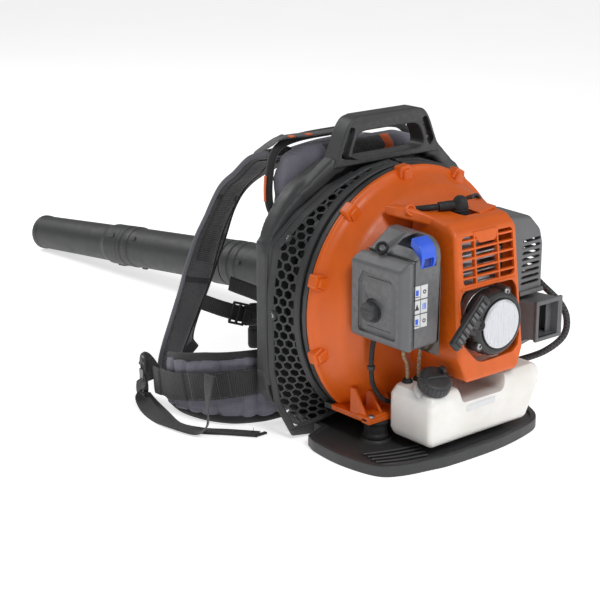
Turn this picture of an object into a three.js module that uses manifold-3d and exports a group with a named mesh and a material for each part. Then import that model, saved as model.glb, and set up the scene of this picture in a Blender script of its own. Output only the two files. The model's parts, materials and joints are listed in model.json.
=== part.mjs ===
// Backpack leaf blower: engine, fan, tank, blow tube and harness as separate pieces.
// Millimetres, +Z up. X is the wearer's right and +Y points to the wearer.
// The origin is on the floor, on the fan's axis in plan.
import * as THREE from 'three';
import { mergeVertices } from 'three/addons/utils/BufferGeometryUtils.js';
import { ConvexGeometry } from 'three/addons/geometries/ConvexGeometry.js';
import Module from 'manifold-3d';

const wasm = await Module();
wasm.setup();

// ---------------------------------------------------------------- driving dimensions
const GAP = 0.3; // clearance between pieces that touch
const CRANK_Z = 197; // height of the crank and fan axis
const RIM_R = 200; // outer radius of the fan housing's flange
const RIM_Y = 80; // where the two housing halves meet
const HOUSING_FLOOR = 46; // underside of the fan housing
const FOOT_H = 17; // thickness of the foot plate
const FRAME_FRONT = 150; // engine-side face of the frame plate
const FRAME_BACK = 163; // harness-side face of the frame plate
const FRAME_HALF = 216; // half width of the frame
const FRAME_TOP = 404.7; // where the carry handle stands on the frame
const HANDLE_TOP = 470; // top of the carry handle
const DUCT = { x: 190, z: 126, r: 46 }; // blower outlet
const TUBE_Y0 = 300; // reference section of the blow tube
const TUBE_AT_Y0 = { x: 183.3, z: 118.2 };
const TUBE_SLOPE = 1 / 12; // the tube runs inward and down by this much per mm
const TUBE_WALL = 2.5;
const PIVOT_Y = 229; // centre of the hose ring, where the tube pivots
const ROPE_EYE = { x: -52, z: 207 }; // where the starter rope leaves its housing
const LEVER_PIVOT = { y: -58, z: 308 }; // choke lever's axis, along X
const RIM_LUG_ANGLES = [29, 62.6, 96.2, 129.8, 163.4, 197];

// ---------------------------------------------------------------- materials
function paint(color, roughness, metalness = 0, extra = {}) {
  return new THREE.MeshStandardMaterial({ color, roughness, metalness, ...extra });
}
const ORANGE = paint(0xe4571b, 0.42);
const DARK_GREY = paint(0x4a4b4d, 0.6);
const MID_GREY = paint(0x66676a, 0.5);
const BLACK = paint(0x1b1b1c, 0.5);
const RUBBER = paint(0x151515, 0.85);
const ALUMINIUM = paint(0xa9abad, 0.4, 0.9);
const STEEL = paint(0x8d8f92, 0.35, 1);
const TANK_WHITE = paint(0xe6e3dd, 0.4, 0, { transparent: true, opacity: 0.85 });
const SILVER = paint(0xcfcfd2, 0.35, 0.4);
const BLUE = paint(0x3c62e6, 0.4);
const SMOKE = paint(0x4c4038, 0.35);
const FABRIC = paint(0x5c5768, 0.9);
const MESH_CLOTH = paint(0x2a2a2c, 0.95);
const WEBBING = paint(0x202021, 0.9);
const FUEL_HOSE = paint(0xb99a76, 0.4, 0, { transparent: true, opacity: 0.8 });

const group = new THREE.Group();
group.name = 'backpack_leaf_blower';

// ---------------------------------------------------------------- solid helpers
function solid(shape) {
  if (!shape.isBufferGeometry) return shape;
  const bare = shape.clone();
  bare.deleteAttribute('normal');
  bare.deleteAttribute('uv');
  const merged = mergeVertices(bare, 1e-4);
  return new wasm.Manifold(new wasm.Mesh({
    numProp: 3,
    vertProperties: new Float32Array(merged.attributes.position.array),
    triVerts: new Uint32Array(merged.index.array),
  }));
}

function join(...shapes) {
  return shapes.map(solid).reduce((sum, next) => sum.add(next));
}

function cut(body, ...tools) {
  return tools.map(solid).reduce((rest, tool) => rest.subtract(tool), solid(body));
}

function add(name, shape, material) {
  const mesh = solid(shape).getMesh();
  const geometry = new THREE.BufferGeometry();
  geometry.setAttribute('position', new THREE.BufferAttribute(mesh.vertProperties, 3));
  geometry.setIndex(new THREE.BufferAttribute(mesh.triVerts, 1));
  geometry.computeVertexNormals();
  const node = new THREE.Mesh(geometry, material);
  node.name = name;
  group.add(node);
}

function block(x0, x1, y0, y1, z0, z1) {
  const geometry = new THREE.BoxGeometry(x1 - x0, y1 - y0, z1 - z0);
  return geometry.translate((x0 + x1) / 2, (y0 + y1) / 2, (z0 + z1) / 2);
}

function hull(points) {
  return new ConvexGeometry(points.map(([x, y, z]) => new THREE.Vector3(x, y, z)));
}

// A round bar along 'x', 'y' or 'z', centred on (a, b) in the other two axes in order.
function rod(axis, radius, from, to, a, b, sides = 24) {
  const bar = new THREE.CylinderGeometry(radius, radius, to - from, sides);
  const middle = (from + to) / 2;
  if (axis === 'x') return bar.rotateZ(Math.PI / 2).translate(middle, a, b);
  if (axis === 'y') return bar.translate(a, middle, b);
  return bar.rotateX(Math.PI / 2).translate(a, b, middle);
}

// A closed lathe profile of [radius, height] points, in the order that faces outwards.
function closedProfile(profile) {
  const points = profile.map(([r, h]) => new THREE.Vector2(r, h));
  if (THREE.ShapeUtils.isClockWise(points)) points.reverse();
  return [...points, points[0].clone()];
}

// A turned ring or disc about the Y direction: profile is [radius, y].
function turned(profile, x, z, sides) {
  return new THREE.LatheGeometry(closedProfile(profile), sides).translate(x, 0, z);
}

// An outline of [x, z] points with optional holes, as a plate between y0 and y1.
function plate(outline, y0, y1, holes = []) {
  const shape = new THREE.Shape(outline.map(([x, z]) => new THREE.Vector2(x, z)));
  for (const hole of holes) {
    shape.holes.push(new THREE.Path(hole.map(([x, z]) => new THREE.Vector2(x, z))));
  }
  const geometry = new THREE.ExtrudeGeometry(shape, { depth: y1 - y0, bevelEnabled: false });
  return geometry.rotateX(Math.PI / 2).translate(0, y1, 0);
}

// An outline of [y, z] points as a slab between x0 and x1.
function slab(outline, x0, x1) {
  const shape = new THREE.Shape(outline.map(([y, z]) => new THREE.Vector2(y, z)));
  const geometry = new THREE.ExtrudeGeometry(shape, { depth: x1 - x0, bevelEnabled: false });
  const turn = new THREE.Matrix4().makeBasis(
    new THREE.Vector3(0, 1, 0), new THREE.Vector3(0, 0, 1), new THREE.Vector3(1, 0, 0));
  return geometry.applyMatrix4(turn).translate(x0, 0, 0);
}

// An outline of [x, y] points as a floor plate between z0 and z1.
function floorPlate(outline, z0, z1) {
  const shape = new THREE.Shape(outline.map(([x, y]) => new THREE.Vector2(x, y)));
  const geometry = new THREE.ExtrudeGeometry(shape, { depth: z1 - z0, bevelEnabled: false });
  return geometry.translate(0, 0, z0);
}

function mirrored(points) {
  return points.map(([x, ...rest]) => [-x, ...rest]);
}

function symmetric(half) {
  return [...half, ...mirrored(half).reverse()];
}

// A round cable along a smooth curve through the given points.
function cable(points, radius, sides, steps) {
  const path = new THREE.CatmullRomCurve3(points.map(([x, y, z]) => new THREE.Vector3(x, y, z)));
  const section = new THREE.Shape();
  section.absarc(0, 0, radius, 0, 2 * Math.PI);
  return new THREE.ExtrudeGeometry(section, {
    extrudePath: path, steps, curveSegments: sides / 2, bevelEnabled: false,
  });
}

// A band of the given width and thickness laid through the centre points. The width runs
// along `across`, or level and square to the band's own run when that is left out.
function band(centres, width, thickness, across) {
  const points = centres.map(([x, y, z]) => new THREE.Vector3(x, y, z));
  const sections = points.map((point, i) => {
    const before = points[Math.max(i - 1, 0)];
    const after = points[Math.min(i + 1, points.length - 1)];
    const along = after.clone().sub(before).normalize();
    const side = new THREE.Vector3(...(across ?? [along.y, -along.x, 0]));
    side.addScaledVector(along, -side.dot(along)).normalize().multiplyScalar(width / 2);
    const up = along.clone().cross(side).normalize().multiplyScalar(thickness / 2);
    const corners = [[1, 1], [1, -1], [-1, -1], [-1, 1]];
    return corners.map(([s, u]) => point.clone().addScaledVector(side, s).addScaledVector(up, u));
  });
  const links = sections.slice(1).map((next, i) => {
    const overrun = points[i + 1].clone().sub(points[i]).setLength(1).add(points[i + 1]);
    return new ConvexGeometry([...sections[i], ...next, overrun]);
  });
  return join(...links);
}

// The blow tube's axis, and turned pieces set on it.
function tubePoint(y) {
  const run = y - TUBE_Y0;
  return new THREE.Vector3(TUBE_AT_Y0.x - run * TUBE_SLOPE, y, TUBE_AT_Y0.z - run * TUBE_SLOPE);
}
const TUBE_DIRECTION = tubePoint(TUBE_Y0 + 1).sub(tubePoint(TUBE_Y0)).normalize();

function onTube(profile, sides) {
  const lengths = profile.map(([r, y]) => [r, (y - TUBE_Y0) / TUBE_DIRECTION.y]);
  const turn = new THREE.Quaternion().setFromUnitVectors(new THREE.Vector3(0, 1, 0), TUBE_DIRECTION);
  const place = new THREE.Matrix4().makeRotationFromQuaternion(turn).setPosition(tubePoint(TUBE_Y0));
  return new THREE.LatheGeometry(closedProfile(lengths), sides).applyMatrix4(place);
}

// ---------------------------------------------------------------- frame
function frameStructure() {
  const half = [
    [150, FOOT_H + GAP], [206, 48], [FRAME_HALF, 70], [FRAME_HALF, 282], [211, 299], [202, 321],
    [192, 338], [178, 356], [159, 374], [131, 389], [107, FRAME_TOP],
  ];
  const duct = rod('y', DUCT.r + 3, FRAME_FRONT - 5, FRAME_BACK + 20, DUCT.x, DUCT.z, 32);
  const windows = [0, 1].map((side) => {
    const x0 = side ? 18 : -84;
    return block(x0, x0 + 66, FRAME_FRONT - 5, FRAME_BACK + 5, 190, 330);
  });
  const back = plate(symmetric(half), FRAME_FRONT, FRAME_BACK);
  const strips = [-1, 1].map((side) => {
    const x0 = side < 0 ? -FRAME_HALF : FRAME_HALF - 12;
    return block(x0, x0 + 12, FRAME_BACK - 2, 176, 60, 298);
  });
  // Each station: top front, top back, low front and low back corner of the rounded shoulder.
  const stations = [
    [[84, 124, FRAME_TOP], [84, 162, FRAME_TOP], [84, 130, 390], [84, 162, 388]],
    [[105, 124, FRAME_TOP], [107, 172, 403], [98, 130, 388], [96, 162, 380]],
    [[130, 131, 386], [131, 174, 390], [122, 133, 370], [122, 162, 366]],
    [[158, 136, 369], [159, 176, 375], [148, 139, 351], [148, 162, 350]],
    [[177, 140, 351], [178, 176, 357], [166, 142, 334], [166, 162, 334]],
    [[192, 143, 334], [192, 176, 339], [182, 146, 317], [182, 162, 316]],
    [[203, 147, 316], [203, 176, 323], [194, 151, 301], [194, 162, 300]],
    [[212, 149, 296], [212, 176, 299], [202, 152, 285], [202, 162, 285]],
  ];
  const shoulders = [-1, 1].flatMap((side) => stations.slice(1).map((station, i) => hull(
    [...stations[i], ...station].map(([x, y, z]) => [side * x, y, z]))));
  add('backpack_frame', cut(join(back, ...strips, ...shoulders), duct, ...windows), DARK_GREY);

  const outline = symmetric([
    [76, FRAME_TOP + GAP], [105, FRAME_TOP + GAP], [100, 416], [93, 432], [85, 450], [78, 461],
    [69, HANDLE_TOP - 3], [58, HANDLE_TOP],
  ]);
  const hand = symmetric([[74, 412], [76, 420], [67, 438], [57, 445]]);
  const handle = plate(outline, 124, 161, [hand]);
  add('carry_handle', handle, BLACK);
}

function footPlate() {
  const outline = [
    [-156, 172], [-156, 94], [-196, 79], [-206, 51], [-210, -9], [-198, -70], [-171, -93],
    [-121, -106], [-81, -112], [13, -112], [90, -99], [124, -82], [146, -48], [166, 0],
    [200, 60], [196, 79], [156, 94], [156, 172],
  ];
  const tread = [0, 1, 2, 3].map((i) => block(-168 + 5 * i, -96 - 2 * i, -98 + 9 * i, -94 + 9 * i, 12, 20));
  add('foot_plate', join(floorPlate(outline, 0, FOOT_H), ...tread), DARK_GREY);
}

// The guard runs from the back of the housing's rim out to the frame's edge.
const GUARD_STATIONS = [
  { angle: 91, edge: [-5, 121, 397] },
  { angle: 105, edge: [-58, 121, 392] },
  { angle: 122, edge: [-118, 122, 372] },
  { angle: 139, edge: [-170, 128, 338] },
  { angle: 156, edge: [-208, 143, 294] },
  { angle: 173, edge: [-214, 149, 225] },
  { angle: 190, edge: [-214, 149, 160] },
  { angle: 207, edge: [-213, 149, 100] },
  { angle: 222, edge: [-209, 140, 50] },
  { angle: 236, edge: [-199, 114, 8] },
];

function intakeGuard(name, side, count) {
  const innerR = 202;
  const innerY = 97;
  const thick = 3.5;
  const sections = GUARD_STATIONS.slice(0, count).map(({ angle, edge }) => {
    const t = THREE.MathUtils.degToRad(angle);
    const inner = [side * innerR * Math.cos(t), innerY, CRANK_Z + innerR * Math.sin(t)];
    const outer = [side * edge[0], edge[1] - GAP, edge[2]];
    const lower = (p) => [p[0] - side * thick * Math.cos(t), p[1], p[2] - thick * Math.sin(t)];
    return [inner, outer, lower(inner), lower(outer)];
  });
  const panels = sections.slice(1).map((next, i) => hull([...sections[i], ...next]));
  add(name, join(...panels), DARK_GREY);
}

// ---------------------------------------------------------------- fan
function fanHousing() {
  const front = turned([
    [58, 12], [100, 10], [150, 16], [180, 36], [194, 64], [RIM_R, 72], [RIM_R, RIM_Y - GAP / 2],
    [190, RIM_Y - GAP / 2], [188, 68], [175, 40], [148, 21], [100, 15], [58, 17],
  ], 0, CRANK_Z, 40);
  const frontDuct = turned([
    [0, 34], [24, 38], [40, 50], [DUCT.r, 64], [DUCT.r, RIM_Y - GAP / 2], [0, RIM_Y - GAP / 2],
  ], DUCT.x, DUCT.z, 20);
  const frontScoop = turned([
    [0, 38], [22, 42], [37, 53], [DUCT.r - 4, 66], [DUCT.r - 4, RIM_Y + 5], [0, RIM_Y + 5],
  ], DUCT.x, DUCT.z, 20);
  const below = block(-260, 260, -20, 200, -30, HOUSING_FLOOR);
  const frontFloor = block(-150, 150, 22, RIM_Y - GAP / 2, HOUSING_FLOOR, 54);
  const feet = [-1, 1].map((side) => block(
    Math.min(side * 152, side * 88), Math.max(side * 152, side * 88), -4, 24, HOUSING_FLOOR, 56));
  const lugs = RIM_LUG_ANGLES.map((angle) => {
    const t = THREE.MathUtils.degToRad(angle);
    const lug = new THREE.BoxGeometry(22, 16, 18).rotateY(-t);
    return lug.translate(196 * Math.cos(t), 70.5, CRANK_Z + 196 * Math.sin(t));
  });
  const shell = cut(join(front, frontDuct, ...lugs), frontScoop, below);
  add('fan_housing_front', join(shell, frontFloor, ...feet), ORANGE);

  const rear = turned([
    [RIM_R, RIM_Y + GAP / 2], [RIM_R, 88], [196, 92], [190, 128], [168, 141], [92, 141],
    [92, 137], [166, 137], [185, 126], [190, 90], [190, RIM_Y + GAP / 2],
  ], 0, CRANK_Z, 40);
  const rearDuct = rod('y', DUCT.r, RIM_Y + GAP / 2, 146, DUCT.x, DUCT.z, 20);
  const rearScoop = rod('y', DUCT.r - 4, RIM_Y - 5, 150, DUCT.x, DUCT.z, 20);
  const rearFloor = join(
    block(-150, -105, RIM_Y + GAP / 2, 95, HOUSING_FLOOR, 54),
    block(-106, 140, RIM_Y + GAP / 2, 128, HOUSING_FLOOR, 54));
  const rearShell = join(cut(join(rear, rearDuct), below), rearFloor);
  add('fan_housing_rear', cut(rearShell, rearScoop), DARK_GREY);

  const disc = turned([[10.4, 66], [136, 66], [136, 69], [30, 74], [26, 100], [10.4, 100]], 0, CRANK_Z, 40);
  const blades = Array.from({ length: 12 }, (_, i) => {
    const blade = new THREE.BoxGeometry(62, 52, 2.6).rotateY(0.45).translate(104, 93, 0);
    return blade.rotateY((i * Math.PI) / 6).translate(0, 0, CRANK_Z);
  });
  add('impeller', join(disc, ...blades), BLACK);
  const flywheel = turned([[0, -86], [48, -86], [50, -80], [50, -74], [0, -74]], 0, CRANK_Z, 32);
  const web = rod('y', 31, -42, -22, 0, CRANK_Z);
  add('crankshaft', join(rod('y', 10, -88, 106, 0, CRANK_Z), flywheel, web), STEEL);

  const collar = cut(
    hull(ring(DUCT.x, 146 + GAP, DUCT.z, DUCT.r).concat(ring(193.6, 174, 128.5, 42.5))),
    hull(ring(DUCT.x, 146, DUCT.z, DUCT.r - 4).concat(ring(193.6, 175, 128.5, 39))));
  add('outlet_elbow', collar, BLACK);
}

// Points of a circle square to Y.
function ring(x, y, z, radius, sides = 28) {
  return Array.from({ length: sides }, (_, i) => {
    const t = (i * 2 * Math.PI) / sides;
    return [x + radius * Math.cos(t), y, z + radius * Math.sin(t)];
  });
}

function rubberMounts() {
  for (const [name, x] of [['rubber_mount_left', -122], ['rubber_mount_right', 122]]) {
    add(name, rod('z', 19, FOOT_H + GAP, HOUSING_FLOOR - GAP, x, 12), RUBBER);
  }
  for (const [name, x] of [['rubber_mount_upper_left', -98], ['rubber_mount_upper_right', 98]]) {
    add(name, rod('y', 13, 141 + GAP, FRAME_FRONT - GAP, x, 320, 20), RUBBER);
  }
}

// ---------------------------------------------------------------- engine
const CYLINDER_Y = -32;

function engine() {
  const chamber = join(
    rod('y', 50, -62, 0, 0, CRANK_Z, 32), block(-36, 36, -62, 0, CRANK_Z, 247.5),
    rod('y', 57.4, 0, 14, 0, CRANK_Z, 32));
  const crankcase = cut(chamber,
    rod('y', 10.5, -70, 20, 0, CRANK_Z), rod('y', 34, -47, -17, 0, CRANK_Z),
    rod('z', 22, 215, 250, 0, CYLINDER_Y));
  add('crankcase', crankcase, ALUMINIUM);

  const fins = Array.from({ length: 8 }, (_, i) => block(-39, 39, -68, -1, 255 + i * 9, 257.6 + i * 9));
  const barrel = join(
    rod('z', 28, 247.5 + GAP, 325, 0, CYLINDER_Y, 20), block(-30, 30, -58, -6, 323, 332),
    block(-34, 34, -60, -4, 247.5 + GAP, 252), ...fins);
  add('cylinder', cut(barrel, rod('z', 21.8, 240, 311, 0, CYLINDER_Y)), ALUMINIUM);
  add('piston', cut(rod('z', 21.3, 262, 296, 0, CYLINDER_Y), rod('z', 17, 255, 290, 0, CYLINDER_Y)), STEEL);
  add('spark_plug', join(
    rod('z', 9, 332 + GAP, 337, 0, CYLINDER_Y, 6), rod('z', 5, 336, 350, 0, CYLINDER_Y, 12)), STEEL);
  const boot = join(
    rod('z', 13, 338, 362, 0, CYLINDER_Y, 16),
    hull([...diskPoints(13, 361, CYLINDER_Y), ...diskPoints(8, 370, CYLINDER_Y)]),
    block(-12, 12, CYLINDER_Y - 40, CYLINDER_Y - 4, 353, 360));
  add('spark_plug_boot', cut(boot, rod('z', 5.6, 330, 351, 0, CYLINDER_Y, 12)), RUBBER);
}

function diskPoints(radius, z, y, sides = 16) {
  return Array.from({ length: sides }, (_, i) => {
    const t = (i * 2 * Math.PI) / sides;
    return [radius * Math.cos(t), y + radius * Math.sin(t), z];
  });
}

function shroudHull(inset, back, bottom) {
  const left = (x) => x + inset;
  const right = (x) => x - inset;
  const front = (y) => y + inset;
  return hull([
    [left(-58), front(-109), bottom], [right(46), front(-109), bottom],
    [left(-70), front(-104), 150], [right(63), front(-104), 150],
    [left(-65), front(-83), 330 - inset], [right(61), front(-83), 330 - inset],
    [left(-61), front(-67), 345 - inset], [right(57), front(-67), 345 - inset],
    [left(-64), back, 351 - inset], [right(60), back, 351 - inset],
    [left(-70), back, 150], [right(63), back, 150],
    [left(-58), back, bottom], [right(46), back, bottom],
  ]);
}

function engineShroud() {
  const grille = [];
  for (let row = 0; row < 6; row += 1) {
    for (const [x0, x1] of [[-52, -24], [-20, 20], [24, 50]]) {
      grille.push(block(x0, x1, -120, -60, 252 + row * 11.8, 259.6 + row * 11.8));
    }
  }
  const topTab = block(-20, 20, -94, -76, 305, 326);
  const arms = [
    hull([
      [-60, -40, 336], [-60, -40, 349], [-60, 14, 338], [-60, 14, 352], [-98, 4, 344],
      [-98, 4, 356], [-98, 29, 344], [-98, 29, 356]]),
    hull([
      [56, -40, 337], [56, -40, 348], [56, 14, 337], [56, 14, 350], [84, 2, 337],
      [84, 2, 350], [84, 19, 337], [84, 19, 350]]),
  ];
  const shell = cut(shroudHull(0, 6, 117), shroudHull(3.2, 20, 105));
  const openings = [
    ...grille,
    rod('y', 57, -130, -70, 0, CRANK_Z, 32),
    rod('y', 10, -130, -85, ROPE_EYE.x, ROPE_EYE.z, 16),
    rod('z', 17, 335, 380, 0, CYLINDER_Y),
    block(-17, 17, -78, CYLINDER_Y, 342, 380),
    block(-90, -50, -58, -4, 205, 278),
    block(50, 75, -60, 8, 205, 300),
  ];
  add('engine_shroud', join(cut(join(shell, ...arms), ...openings), topTab), ORANGE);
}

function exhaust() {
  const muffler = join(block(44, 112, -54, -4, 226, 290), rod('z', 9, 192, 228, 106, -30, 16));
  add('muffler', muffler, STEEL);
  const cover = (inset, left) => hull([
    [left, -62 + inset, 203 + inset], [left, 6 - inset, 203 + inset],
    [left, -62 + inset, 333 - inset], [left, 6 - inset, 335 - inset],
    [116 - inset, -62 + inset, 328 - inset], [116 - inset, 6 - inset, 330 - inset],
    [140 - inset, -60 + inset, 306 - inset], [140 - inset, 6 - inset, 308 - inset],
    [151 - inset, -58 + inset, 275], [151 - inset, 4 - inset, 275],
    [151 - inset, -58 + inset, 203 + inset], [151 - inset, 4 - inset, 203 + inset],
  ]);
  const slots = Array.from({ length: 8 }, (_, i) => block(104, 146, -80, -50, 222 + i * 9, 226.5 + i * 9));
  const shell = cut(cover(0, 64), cover(3, 60), ...slots, block(90, 120, -45, -15, 195, 212));
  add('muffler_cover', shell, MID_GREY);
  const box = cut(
    hull([
      [117, -82, 137], [170, -82, 137], [170, -82, 196], [117, -82, 196],
      [90, -16, 132], [150, -16, 132], [150, -16, 200], [90, -16, 200]]),
    block(121, 166, -90, -40, 141, 192), block(97, 140, -45, -22, 150, 186),
    rod('z', 9.5, 180, 210, 106, -30, 16));
  const bracket = hull([
    [100, -58, 133], [150, -58, 133], [100, -20, 133], [150, -20, 133],
    [84, -40, 113], [112, -40, 113], [84, -20, 113], [112, -20, 113]]);
  add('exhaust_outlet', join(box, bracket), MID_GREY);
}

// ---------------------------------------------------------------- starter
function starter() {
  const cup = cut(rod('y', 53, -115, -90, 0, CRANK_Z, 36), rod('y', 49, -111, -80, 0, CRANK_Z, 36));
  const post = rod('y', 7, -112, -93, 0, CRANK_Z, 16);
  const guide = rod('y', 9, -119, -96, ROPE_EYE.x, ROPE_EYE.z, 16);
  const eye = rod('y', 4.5, -125, -90, ROPE_EYE.x, ROPE_EYE.z, 12);
  add('starter_housing', cut(join(cup, post, guide), eye), BLACK);
  add('starter_badge', rod('y', 37.5, -119.3, -115 - GAP, 0, CRANK_Z, 40), SILVER);
  const pulley = turned([[7.4, -109], [30, -109], [24, -104], [24, -100], [30, -95], [7.4, -95]], 0, CRANK_Z, 28);
  add('starter_pulley', pulley, BLACK);
  const grip = new THREE.BoxGeometry(88, 14, 20).rotateY(-Math.PI / 4).translate(-80, -131, 219);
  const neck = hull([
    ...ring(ROPE_EYE.x, -119 - GAP, ROPE_EYE.z, 7, 12),
    ...ring(ROPE_EYE.x - 8, -128, ROPE_EYE.z + 4, 9, 12)]);
  const stem = hull([
    ...ring(ROPE_EYE.x - 8, -128, ROPE_EYE.z + 4, 8, 10), ...ring(-76, -131, 215, 8, 10)]);
  add('starter_grip', join(grip, neck, stem), BLACK);
}

// ---------------------------------------------------------------- intake
function airFilter() {
  const baseShape = (inset, x0) => hull([
    [x0, -84 + inset, 178 + inset], [x0, 8 - inset, 178 + inset],
    [x0, -84 + inset, 310 - inset], [x0, 8 - inset, 310 - inset],
    [-108, -84 + inset, 336 - inset], [-108, 8 - inset, 336 - inset],
    [-90 - inset, -82 + inset, 336 - inset], [-90 - inset, 8 - inset, 336 - inset],
    [-90 - inset, -78 + inset, 178 + inset], [-90 - inset, 8 - inset, 178 + inset],
  ]);
  const leverPocket = rod('x', 29, -131, -101, LEVER_PIVOT.y, LEVER_PIVOT.z, 28);
  const base = cut(baseShape(0, -146), baseShape(4, -150), leverPocket,
    rod('x', 15, -100, -80, -30, 250), rod('z', 12, 170, 190, -118, -40));
  add('filter_base', base, MID_GREY);
  const coverShape = (inset, x0, x1) => hull([
    [x0, -84 + inset, 186 + inset], [x0, 21 - inset, 186 + inset],
    [x0, -84 + inset, 296 - inset], [x0, 21 - inset, 296 - inset],
    [x1, -88 + inset, 176 + inset], [x1, 12 - inset, 176 + inset],
    [x1, -88 + inset, 309 - inset], [x1, 12 - inset, 309 - inset],
  ]);
  const cover = cut(coverShape(0, -168, -146 - GAP), coverShape(3, -164, -140),
    block(-180, -166, -68, -2, 198, 284));
  add('filter_cover', cover, MID_GREY);
  add('air_filter', block(-140, -104, -74, 2, 190, 270), paint(0x3a3a3a, 1));
  add('cover_knob', join(
    rod('x', 13, -171, -166 - GAP, -24, 228), block(-178, -170, -33, -15, 225, 231)), DARK_GREY);
  const lever = [];
  for (const [radius, from, to] of [[28.5, 100, 205], [20, 205, 100]]) {
    for (let i = 0; i <= 7; i += 1) {
      const t = THREE.MathUtils.degToRad(from + ((to - from) * i) / 7);
      lever.push([LEVER_PIVOT.y + radius * Math.cos(t), LEVER_PIVOT.z + radius * Math.sin(t)]);
    }
  }
  add('choke_lever', slab(lever, -129, -103), BLUE);
  add('heat_shield', cut(block(-88.6, -86.4, -80, 2, 158, 290), rod('x', 15.5, -95, -80, -30, 250)), SMOKE);
  const carburettor = cut(join(block(-80, -50, -50, -10, 232, 268), rod('x', 14, -90, -39 - GAP, -30, 250)),
    rod('x', 8, -95, -60, -30, 250, 16));
  add('carburettor', carburettor, ALUMINIUM);
  add('primer_bulb', join(rod('z', 11.4, 168, 179, -118, -40), rod('z', 8, 164, 169, -118, -40)), RUBBER);
}

// ---------------------------------------------------------------- fuel
const CAP_FOOT = new THREE.Vector3(-91, -70, 103);
const CAP_AXIS = new THREE.Vector3(-0.16, -0.5, 0.85).normalize();

// A turned piece on the filler neck's axis: profile is [radius, height above the neck's foot].
function onFiller(profile, sides) {
  const turn = new THREE.Quaternion().setFromUnitVectors(new THREE.Vector3(0, 1, 0), CAP_AXIS);
  const place = new THREE.Matrix4().makeRotationFromQuaternion(turn).setPosition(CAP_FOOT);
  return new THREE.LatheGeometry(closedProfile(profile), sides).applyMatrix4(place);
}

function fuelSystem() {
  const tankShape = (n) => hull([
    [-113 + n, -94 + n, 25 + n], [88 - n, -94 + n, 25 + n], [88 - n, -14 - n, 25 + n],
    [-113 + n, -14 - n, 25 + n], [-118 + n, -98 + n, 40], [-118 + n, -10 - n, 40],
    [108 - n, -100 + n, 80], [108 - n, -14 - n, 80], [-118 + n, -98 + n, 92],
    [-112 + n, -92 + n, 104 - n], [-118 + n, -10 - n, 92], [-112 + n, -16 - n, 106 - n],
    [112 - n, -99 + n, 96], [104 - n, -96 + n, 111 - n], [112 - n, -14 - n, 96],
    [104 - n, -18 - n, 111 - n],
  ]);
  const trough = (n) => hull([
    [-56 - n, -130, 84 - n], [30 + n, -130, 84 - n], [-56 - n, 0, 84 - n], [30 + n, 0, 84 - n],
    [-62 - n, -130, 130], [38 + n, -130, 130], [-62 - n, 0, 130], [38 + n, 0, 130]]);
  const neck = onFiller([[0, -12], [17, -12], [17, 18], [0, 18]], 24);
  const bore = onFiller([[0, -30], [13, -30], [13, 25], [0, 25]], 20);
  const hose = rod('z', 4.2, 95, 115, -78, -30, 10);
  const pipe = rod('z', 4.2, 95, 115, -96, -26, 10);
  const inside = cut(tankShape(3), trough(3));
  const capSeat = onFiller([[0, 12], [26, 12], [26, 60], [0, 60]], 28);
  const capSeatLining = onFiller([[0, 9], [29, 9], [29, 60], [0, 60]], 28);
  const body = cut(tankShape(0), trough(0), capSeat);
  add('fuel_tank', cut(join(body, neck), cut(inside, capSeatLining), bore, hose, pipe), TANK_WHITE);
  const cap = onFiller([[0, 31], [21, 31], [24.5, 28], [24.5, 13], [17.4, 13], [17.4, 20], [0, 20]], 28);
  const lugSpot = CAP_FOOT.clone().addScaledVector(CAP_AXIS, 34);
  const lug = new THREE.BoxGeometry(6, 10, 14).translate(lugSpot.x + 14, lugSpot.y + 4, lugSpot.z + 4);
  add('fuel_cap', join(cap, lug), DARK_GREY);
  add('fuel_line', cable(
    [[-78, -30, 98], [-78, -30, 120], [-80, -34, 150], [-77, -38, 190], [-70, -36, 215], [-66, -32, 230.6]],
    2.8, 8, 16), FUEL_HOSE);
  add('return_line', cable(
    [[-96, -26, 98], [-96, -26, 118], [-102, -30, 138], [-114, -36, 152], [-118, -40, 162.6]],
    2.8, 8, 14), FUEL_HOSE);
}

// ---------------------------------------------------------------- cables
function cables() {
  add('throttle_cable', cable(
    [[-136, 2, 176.6], [-139, 3, 160], [-140, 4, 130], [-134, 5, 100], [-110, 4, 72], [-60, 2, 62],
      [20, 1, 62], [90, -1, 66], [118, -4, 72]],
    3.6, 8, 24), RUBBER);
  add('control_conduit', cable(
    [[120, -5, 72.4], [150, -14, 80], [190, -34, 92], [222, -44, 112], [232, -42, 138],
      [226, -32, 164], [216, 0, 190], [226, 60, 214], [232, 120, 222], [230, 172, 214],
      [212, 204, 194], [191, 222, 183]],
    5, 8, 36), RUBBER);
  add('handle_cable', cable(
    [[243, 237, 124], [243, 252, 128], [236, 282, 146], [216, 312, 164], [198, 330, 171]],
    4, 8, 14), RUBBER);
}

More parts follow.
